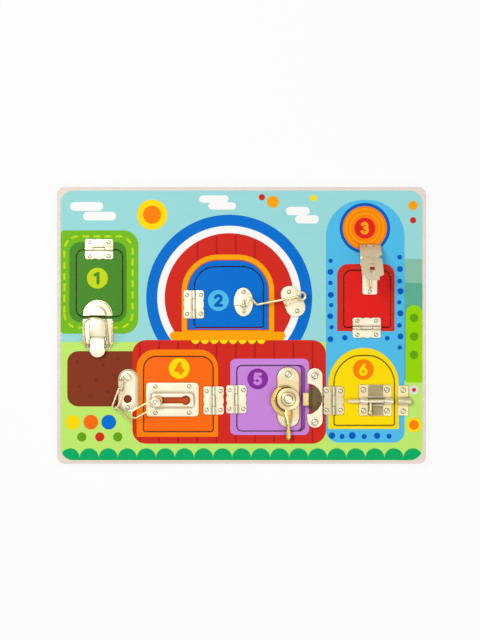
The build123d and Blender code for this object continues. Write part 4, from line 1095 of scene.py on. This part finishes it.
def build_hasp():
    x, staple_y, corner, tab_half, roll_half, strap_raised = HASP_X, 18.1, 2.6, 6.55, 3.5, 47
    leaf_half, strap_low, strap_high, play = 10.3, 2.8, 4.0, 0.3

    def roll(low, high):
        sleeve = knuckle(low, high, HASP_PIN_Z, HASP_PIN_R + 0.06, 0.25)
        return moved(along_x(sleeve), x, HASP_PIN_Y, HASP_PIN_Z)

    leaf = tile(x - leaf_half, x + leaf_half, 34.6, 54.5, (corner,) * 4)
    on(3, "hasp_fixed_leaf", [
        (pressed(leaf, FINE_EDGE), BRASS), (roll(-roll_half, roll_half), BRASS),
        (bridge(x - roll_half, x + roll_half, 54, HASP_PIN_Y - 0.1), BRASS),
    ], "board", "hasp_leaf")
    notch = arc(12.0, 37.2, 3.9, 153, 207, 8)[1:-1]
    outline = mirrored([
        (4.3, 53.8), (4.3, HASP_PIN_Y), (HASP_HALF, HASP_PIN_Y), (HASP_HALF, 40.6), *notch,
        (HASP_HALF, 33.8), (HASP_HALF, 9.1), (tab_half, 5.4), (tab_half, 0.7),
    ], x)
    slot = stadium(x, staple_y - 10, staple_y + 10, 5.2, 14)
    strap = [flat([outline, slot], strap_low, strap_high, EDGE)]
    strap += [roll(roll_half + play, HASP_HALF), roll(-HASP_HALF, -roll_half - play)]
    for mesh in strap:
        turned(mesh, (-1, 0, 0), strap_raised, (0, HASP_PIN_Y, HASP_PIN_Z))
    strap = [(mesh, MATT_BRASS) for mesh in strap]
    on(3, "hasp_slotted_strap", strap, "hasp strap", "hasp_strap")
    plate = pressed(oblong(x, staple_y, 16, 27, corner), FINE_EDGE)
    on(3, "hasp_staple_base", [(plate, BRASS)], "door 3", "hasp_staple_plate")
    add_screws(3, [(x, staple_y - 10.4), (x, staple_y + 10.4)], SHEET, SMALL_SCREW, at_door(3))
    bow = staple((x, staple_y - 6), (x, staple_y + 6), 9.6, 1.3)
    on(3, "hasp_staple_wire", [(bow, WIRE_BRASS)], "door 3", "hasp_staple")


# Latch 4, door chain

# The track's middle, the left end of its slot and the round hole that lets the knob in
TRACK_X, TRACK_Y, SLOT_LEFT, KEY_X = -6.05, -6.55, -22.45, 8.15
ANCHOR_X, RIVET_X, RIVET_Y = -54.15, -54.85, 18.65
LINK_WIRE, LINK_HALF, LONG_HALF = 0.9, 2.9, 4.2


def link(x, y, rise, heading, length, half, on_edge):
    """An oval link from one pivot towards a heading."""
    outline = arc(length, 0, half, -90, 90, 16) + arc(0, 0, half, 90, 270, 16)
    mesh = wire([(px, py, 0) for px, py in outline], LINK_WIRE, closed=True)
    if on_edge:
        turned(mesh, (1, 0, 0), 90)
    turned(mesh, (0, 0, 1), heading)
    return moved(mesh, x, y, rise)


def further(x, y, heading, distance):
    turn = math.radians(heading)
    return x + distance * math.cos(turn), y + distance * math.sin(turn)


def build_track():
    plate_x, plate_y, plate_top, slot_half, key_r = -6.45, -5.95, 1.1, 3.3, 5.1

    def channel(inset, r):
        return oblong(TRACK_X, TRACK_Y, 48.4 - 2 * inset, 18.3 - 2 * inset, r)

    mouth = 180 - math.degrees(math.asin(slot_half / key_r))
    slot = arc(SLOT_LEFT, TRACK_Y, slot_half, 90, 270, 16) + arc(KEY_X, TRACK_Y, key_r, -mouth, mouth, 28)
    # the raised wall: inset, corner radius and height, up outside and down inside
    wall = loft([(channel(inset, r), z) for inset, r, z in (
        (0.0, 4.2, 0.95), (0.35, 4.0, 1.25), (1.5, 3.6, 3.4), (1.9, 3.4, 3.95), (2.5, 3.1, 4.2),
        (3.4, 2.4, 4.2), (3.4, 2.4, 3.2), (2.6, 3.0, 3.0), (2.0, 3.4, 0.95),
    )])
    plate = flat([oblong(plate_x, plate_y, 57.1, 36.7, 4.2), channel(0.6, 3.8)], 0, plate_top, 0.35, 4)
    floor = flat([channel(3.0, 2.6), slot], 3.2, 4.16, EDGE)
    parts = [(mesh, BRASS) for mesh in (plate, wall, floor)]
    on(4, "chain_slotted_track", parts, "door 4", "chain_track")
    add_screws(4, four_corners(plate_x, plate_y, 18.35, 14.3), plate_top, SMALL_SCREW, at_door(4))


def build_knob():
    shoulder, head_z, link_z, link_turn, post_r, play = 5.8, 11.7, 10.4, 209.7, 1.6, 0.6

    def on_post(rise):
        """A point on the middle of the leaning post."""
        share = (rise - shoulder) / (head_z - shoulder)
        return Vector((SLOT_LEFT - 1.6 * share, TRACK_Y - 2.0 * share, rise))

    foot = lathe([
        (0, 0.3), (4.2, 0.3), (4.4, 0.5), (4.4, 1.3), (4.2, 1.5), (2.8, 1.5), (2.8, 4.4), (5.2, 4.4),
        (5.4, 4.65), (5.4, 5.5), (5.1, shoulder), (0, shoulder),
    ], 36)
    head = lathe([
        (0, 0.0), (4.9, 0.0), (5.5, 0.4), (5.6, 1.0), (5.55, 2.2), (5.2, 2.75), (4.5, 3.0), (3.8, 3.0),
        (3.3, 2.4), (2.2, 2.3), (1.9, 2.55), (1.2, 2.8), (0, 2.85),
    ], 36)
    on(4, "chain_sliding_knob", [
        (moved(foot, SLOT_LEFT, TRACK_Y), WARM_BRASS),
        (wire([on_post(5.2), on_post(8.0), on_post(12.2)], post_r, 20), WARM_BRASS),
        (moved(head, *on_post(head_z)), BRASS),
    ], "slider knob", "chain_knob")
    x, y, _ = on_post(link_z)
    x, y = further(x, y, link_turn, LONG_HALF - LINK_WIRE - post_r - play)
    long_link = link(x, y, link_z, link_turn, 25.0, LONG_HALF, False)
    on(4, "chain_long_link", [(long_link, WIRE_BRASS)], "knob link", "chain_knob_link")


def build_chain():
    plate_top, link_z, play = 1.2, 5.4, 0.4

    def outline(inset):
        return stadium(ANCHOR_X, inset - 19.25, 27.25 - inset, 21.9 - 2 * inset, 24)

    hole = circle(RIVET_X, -5.35, 4.3, 32)
    rim = loft([(outline(inset), z) for inset, z in (
        (0.05, 0.05), (0.0, 0.7), (0.65, 1.15), (1.35, 0.9), (1.95, 0.55), (1.95, 0.05),
    )])
    on(4, "chain_anchor_plate", [
        (flat([outline(0.0), hole], 0, 0.6, 0.15), BRASS), (rim, BRASS),
        (flat([outline(3.0), hole], 0.1, plate_top, 0.4, 4), BRASS),
    ], "board", "chain_anchor")
    add_screws("board", [(RIVET_X, -14.45)], plate_top, SMALL_SCREW, at_door(4))
    rivet = lathe([
        (0, 0), (1.6, 0), (1.6, 6.6), (3.5, 6.6), (3.9, 7.0), (3.8, 7.6), (3.2, 8.2), (2.2, 8.5), (0, 8.6),
    ], 32)
    on(4, "chain_anchor_rivet", [(moved(rivet, RIVET_X, RIVET_Y), BRASS)], "board", "chain_rivet")
    # the small links from the rivet on: heading, length, whether it stands on edge
    x, y = RIVET_X, RIVET_Y
    rows = ((205.0, 5.2, False), (261.3, 6.0, True), (249.8, 17.0, False), (315.0, 16.4, True))
    for number, (heading, length, on_edge) in enumerate(rows, 1):
        if number > 1:
            x, y = further(x, y, heading, 2 * (LINK_HALF - LINK_WIRE) - play)
        parts = [(link(x, y, link_z, heading, length, LINK_HALF, on_edge), WIRE_BRASS)]
        on(4, f"chain_wire_link_{number}", parts, f"chain link {number}", f"chain_link_{number}")
        x, y = further(x, y, heading, length)


# Latch 5, sash lock

CAM_X, CAM_Y = 18.9, -0.65
# The keeper, the round mouth cut into it and half the width of its lip
KEEPER_X, MOUTH_X, MOUTH_R, LIP_HALF = 47.8, 38.7, 16.6, 7.05


def pads(x, ys, r, width, low, high, edge, steps):
    """Raised rings round the screws of a plate."""
    loops = [[circle(x, y, r, steps), circle(x, y, r - width, steps)] for y in ys]
    return [(flat(ring, low, high, edge), BRASS) for ring in loops]


def crescent():
    """A flange that grows from the cam's disc to its middle and back, its face falling outwards."""
    steps, inner, neck = 40, 12.1, 12.6
    rings = []
    for k in range(steps + 1):
        share = k / steps
        angle = math.radians(72 + 194 * share)
        width = 6.4 * math.sin(math.pi * min(share * 0.75, 0.5)) ** 1.1 + 0.25
        outer = neck + width
        profile = [
            (inner, 3.0), (outer - 0.4, 3.0), (outer, 3.4), (outer - 0.05, 4.3), (outer - 0.5, 4.9),
            (neck + width * 0.62, 5.2), (neck + width * 0.3, 4.7), (12.9, 3.7), (neck, 3.3), (inner, 3.3),
        ]
        rings.append([(r * math.cos(angle), r * math.sin(angle), z) for r, z in profile])
    return skin(rings)


def handle():
    """A waist, then a swelling to a round tip, thickest along its middle."""
    steps, start_y, tip_y, low, squareness = 24, -11.8, -44.8, 3.4, 0.75

    def bulge(value):
        return math.copysign(abs(value) ** squareness, value)

    rings = []
    for k in range(steps + 1):
        share = k / steps
        y = start_y + (tip_y - start_y) * share
        wide = 3.4 * max(0.0, 1 - abs(share - 0.14) * 2.7) ** 1.3 + 1.5
        wide += 1.4 * math.exp(-((share - 0.82) / 0.2) ** 2)
        if share > 0.88:
            wide *= math.sqrt(max(0.05, 1 - ((share - 0.88) / 0.12) ** 2))
        half = (5.2 + 3.0 * min(1.0, share / 0.45) - low) / 2
        middle = low + half
        if share > 0.9:
            half *= math.sqrt(max(0.15, 1 - ((share - 0.9) / 0.1) ** 2 * 0.7))
        rings.append([
            (wide * bulge(math.cos(t)), y, middle + half * bulge(math.sin(t))) for t in full_turn(20)
        ])
    return skin(rings)


def build_cam():
    base_top, bore, screw_ys = 2.4, 2.26, (25.95, -24.45)
    base = stadium(CAM_X, -31.45, 34.05, 24.3, 28)
    on(5, "sash_lock_base", [
        (flat([base, circle(CAM_X, CAM_Y, 2.3, 24)], 0, base_top, 1.2, 6), WIRE_BRASS),
        *pads(CAM_X, screw_ys, 6.2, 1.6, 2.0, 2.75, 0.3, 36),
    ], "door 5", "sash_base")
    add_screws(5, [(CAM_X, y) for y in screw_ys], base_top, SASH_SCREW, at_door(5))
    disc = ring_solid([
        (bore, 3.0), (11.9, 3.0), (12.4, 3.4), (12.4, 4.9), (12.0, 5.4), (11.2, 5.6), (9.6, 5.0), (8.3, 4.9),
        (7.6, 5.4), (7.2, 6.7), (6.6, 7.4), (5.8, 7.6), (5.0, 7.3), (4.7, 6.7), (bore, 6.7),
    ], 64)
    on(5, "sash_turning_cam", [
        (moved(disc, CAM_X, CAM_Y), WIRE_BRASS), (moved(crescent(), CAM_X, CAM_Y), GOLD_BRASS),
        (moved(handle(), CAM_X), GOLD_BRASS),
    ], "cam", "sash_cam")
    rivet = lathe([
        (0, 0), (2.2, 0), (2.2, 7.9), (4.0, 7.9), (4.3, 8.2), (4.2, 8.7), (3.4, 9.2), (2.4, 9.35),
        (1.6, 9.1), (0.9, 9.3), (0, 9.45),
    ], 36)
    on(5, "sash_cam_rivet", [(moved(rivet, CAM_X, CAM_Y), BRASS)], "door 5", "sash_rivet")


def scoop():
    """The keeper's scoop: a bent sheet in the round mouth that rises to the lip."""
    columns, rows, thick, start_x = 22, 12, 1.2, 40.2
    end_x = MOUTH_X + MOUTH_R - 0.15
    rings = []
    for k in range(columns + 1):
        share = k / columns
        x = start_x + (end_x - start_x) * share
        reach = math.sqrt(max(0.2, (MOUTH_R + 0.1) ** 2 - (x - MOUTH_X) ** 2))
        low = 0.45 + 4.9 * (1 - share) ** 3.0 + 0.55 * share ** 2
        wide = min(reach, LIP_HALF + 8.2 * share / 0.3)
        sheet = []
        for j in range(rows + 1):
            y = CAM_Y - wide + 2 * wide * j / rows
            lift = 0.9 * (abs(y - CAM_Y) / MOUTH_R) ** 2 * (1 - share)
            sheet.append((x, y, max(0.12, low - lift)))
        rings.append(sheet + [(x, y, z + thick) for _, y, z in reversed(sheet)])
    return skin(rings)


def build_keeper():
    top, end_r, left, screw_ys = 2.2, 8.3, KEEPER_X - 8.3, (24.55, -25.85)
    reach = math.degrees(math.acos((left - MOUTH_X) / MOUTH_R))
    outline = [
        *arc(KEEPER_X, 32.85 - end_r, end_r, 0, 180, 24), *arc(MOUTH_X, CAM_Y, MOUTH_R, reach, -reach, 40),
        *arc(KEEPER_X, -31.95 + end_r, end_r, 180, 360, 24),
    ]
    lip = section_y([tile(34.8, 40.6, 5.7, 7.0, (0,) * 4)], CAM_Y - LIP_HALF, CAM_Y + LIP_HALF, 0.5)
    on(5, "sash_lock_keeper", [
        (flat([outline], 0, top, 0.5, 4), BRASS), *pads(KEEPER_X, screw_ys, 5.4, 1.2, 1.9, 2.5, 0.25, 32),
        # the scoop in dark brass is painted shade in the keeper's hollow
        (scoop(), SHADED_BRASS), (lip, WARM_BRASS),
    ], "board", "sash_keeper")
    add_screws("board", [(KEEPER_X, y) for y in screw_ys], top, SASH_SCREW, at_door(5))


# Latch 6, barrel bolt

# The bolt's axis
BOLT_Y, BOLT_Z = -11.4, 3.6


def arch_section(inner, wall, open_below):
    """A guide over the bolt: a round bore, or an arch that is open below."""
    outer, foot = inner + wall, 0.2
    over = arc(BOLT_Y, BOLT_Z, outer, 0, 180, 24)
    loop = [(BOLT_Y + outer, foot), *over, (BOLT_Y - outer, foot)]
    if not open_below:
        return [loop, circle(BOLT_Y, BOLT_Z, inner, 32)]
    under = arc(BOLT_Y, BOLT_Z, inner, 180, 0, 24)
    return [[*loop, (BOLT_Y - inner, foot), *under, (BOLT_Y + inner, foot)]]


def build_bolt():
    plate_x, plate_y, keeper_x = 11.85, -10.6, 42.1
    parts = [
        (pressed(oblong(plate_x, plate_y, 35.4, 33.6, 1.6)), WIRE_BRASS),
        (flat([oblong(12.3, plate_y, 16.6, 32.6, 0.8, 3)], 0.9, 1.04, 0.02), GRAIN_BRASS),
    ]
    for low, high in ((-4.65, 3.55), (21.75, 30.95)):
        parts.append((section_x(arch_section(2.16, 1.04, False), low, high, 0.25), BRASS))
    for rib_y in (BOLT_Y - 4.3, BOLT_Y + 4.3):
        parts.append((wire([(4.0, rib_y, SHEET), (21.4, rib_y, SHEET)], 0.8), BRASS))
    on(6, "bolt_guide_plate", parts, "door 6", "bolt_plate")
    add_screws(6, four_corners(plate_x, plate_y, 12.7, 11.3), SHEET, BOLT_SCREW, at_door(6))
    rod = lathe([(0, -18.25), (1.3, -18.25), (2.1, -17.4), (2.1, 30.7), (1.4, 31.55), (0, 31.55)], 28)
    knob = lathe([
        (0, 0), (1.5, 0), (1.5, 9.6), (1.25, 10.2), (1.7, 10.8), (2.25, 11.8), (2.35, 12.8), (2.0, 14.0),
        (1.1, 14.75), (0, 14.9),
    ], 28)
    turned(knob, (1, 0, 0), 90)
    on(6, "bolt_rod", [
        (moved(along_x(rod), 0, BOLT_Y, BOLT_Z), BRASS), (moved(knob, 6.35, BOLT_Y, BOLT_Z), WIRE_BRASS),
    ], "bolt", "bolt")
    on(6, "bolt_loop_keeper", [
        (pressed(oblong(keeper_x, -10.9, 11.5, 32.6, 1.6)), WIRE_BRASS),
        (section_x(arch_section(2.9, 1.0, True), 36.35, 50.15, 0.25), MATT_BRASS),
    ], "board", "bolt_keeper")
    add_screws("board", [(keeper_x, 0.4), (keeper_x, -22.4)], SHEET, BOLT_SCREW, at_door(6))


# Stage, lamps and camera

def seen_rays(graph):
    """1 for camera, glossy and transmission rays, 0 for the rays that light the object."""
    path = graph.node("ShaderNodeLightPath").outputs
    total = path["Is Camera Ray"]
    for key in ("Is Glossy Ray", "Is Transmission Ray"):
        total = graph.math("ADD", total, path[key])
        total.node.use_clamp = True
    return total


def graded(graph, *stops):
    """A background whose warm grey follows how high a direction points."""
    height = graph.z_of(graph.node("ShaderNodeTexCoord").outputs["Generated"])
    stops = [(position, (level, level * 0.985, level * 0.965, 1)) for position, level in stops]
    return graph.node("ShaderNodeBackground", Color=graph.ramp(height, *stops))


def build_stage():
    bpy.ops.mesh.primitive_plane_add(size=12.0, location=(0, 0, -0.0004))
    floor = bpy.context.object
    floor.name = "floor"
    s = Shader("stage_white", Base_Color=(0.85, 0.85, 0.85, 1), Roughness=0.8)
    glow = s.node("ShaderNodeEmission", Color=(1, 1, 1, 1))
    out = next(n for n in s.nodes if n.type == "OUTPUT_MATERIAL")
    s.blend(s.math("MULTIPLY", seen_rays(s), 0.86), s.bsdf, glow, out.inputs["Surface"])
    floor.data.materials.append(s.material)

    world = bpy.data.worlds.new("studio")
    bpy.context.scene.world = world
    graph = Graph(world)
    graph.nodes.clear()
    light = graded(graph, (0.0, 0.12), (0.55, 0.22), (0.8, 0.55), (0.94, 1.0))
    # what camera and metal see: white low down and overhead, greyer between, so that metal shows its form
    view = graded(graph, (0.0, 1.0), (0.2, 0.9), (0.55, 0.35), (0.78, 0.5), (0.95, 1.0))
    graph.blend(seen_rays(graph), light, view, graph.node("ShaderNodeOutputWorld").inputs[0])


def lamp(name, place, size, power):
    """A rectangular lamp that looks at the board's middle."""
    data = bpy.data.lights.new(name, "AREA")
    data.shape = "RECTANGLE"
    data.size, data.size_y = size
    data.energy = power
    thing = bpy.data.objects.new(name, data)
    bpy.context.collection.objects.link(thing)
    thing.location = place
    thing.rotation_euler = (-Vector(place)).to_track_quat("-Z", "Y").to_euler()


def build_camera():
    """A camera straight above, its height in metres over the wood and the width it sees there."""
    distance, seen_width, sensor = 1.6, 0.5206, 36.0
    data = bpy.data.cameras.new("camera")
    data.sensor_fit = "HORIZONTAL"
    data.sensor_width = sensor
    data.lens = sensor * distance / seen_width
    data.clip_start, data.clip_end = 0.05, 30.0
    thing = bpy.data.objects.new("camera", data)
    bpy.context.collection.objects.link(thing)
    thing.location = (-0.0017, 0.0058, distance + TOP * MM)
    bpy.context.scene.camera = thing


build_wood()
build_board_print()
build_door_prints()
build_hinges()
build_toggle_plates()
build_toggle_lever()
build_toggle_bail()
build_hook()
build_hasp()
build_track()
build_knob()
build_chain()
build_cam()
build_keeper()
build_bolt()
build_screws()
build_stage()
lamp("key", (-0.7, 0.55, 1.5), (0.8, 0.6), 13.0)
lamp("fill", (0.9, -0.7, 1.2), (0.9, 0.9), 5.5)
build_camera()

scene = bpy.context.scene
scene.view_settings.view_transform = "Standard"
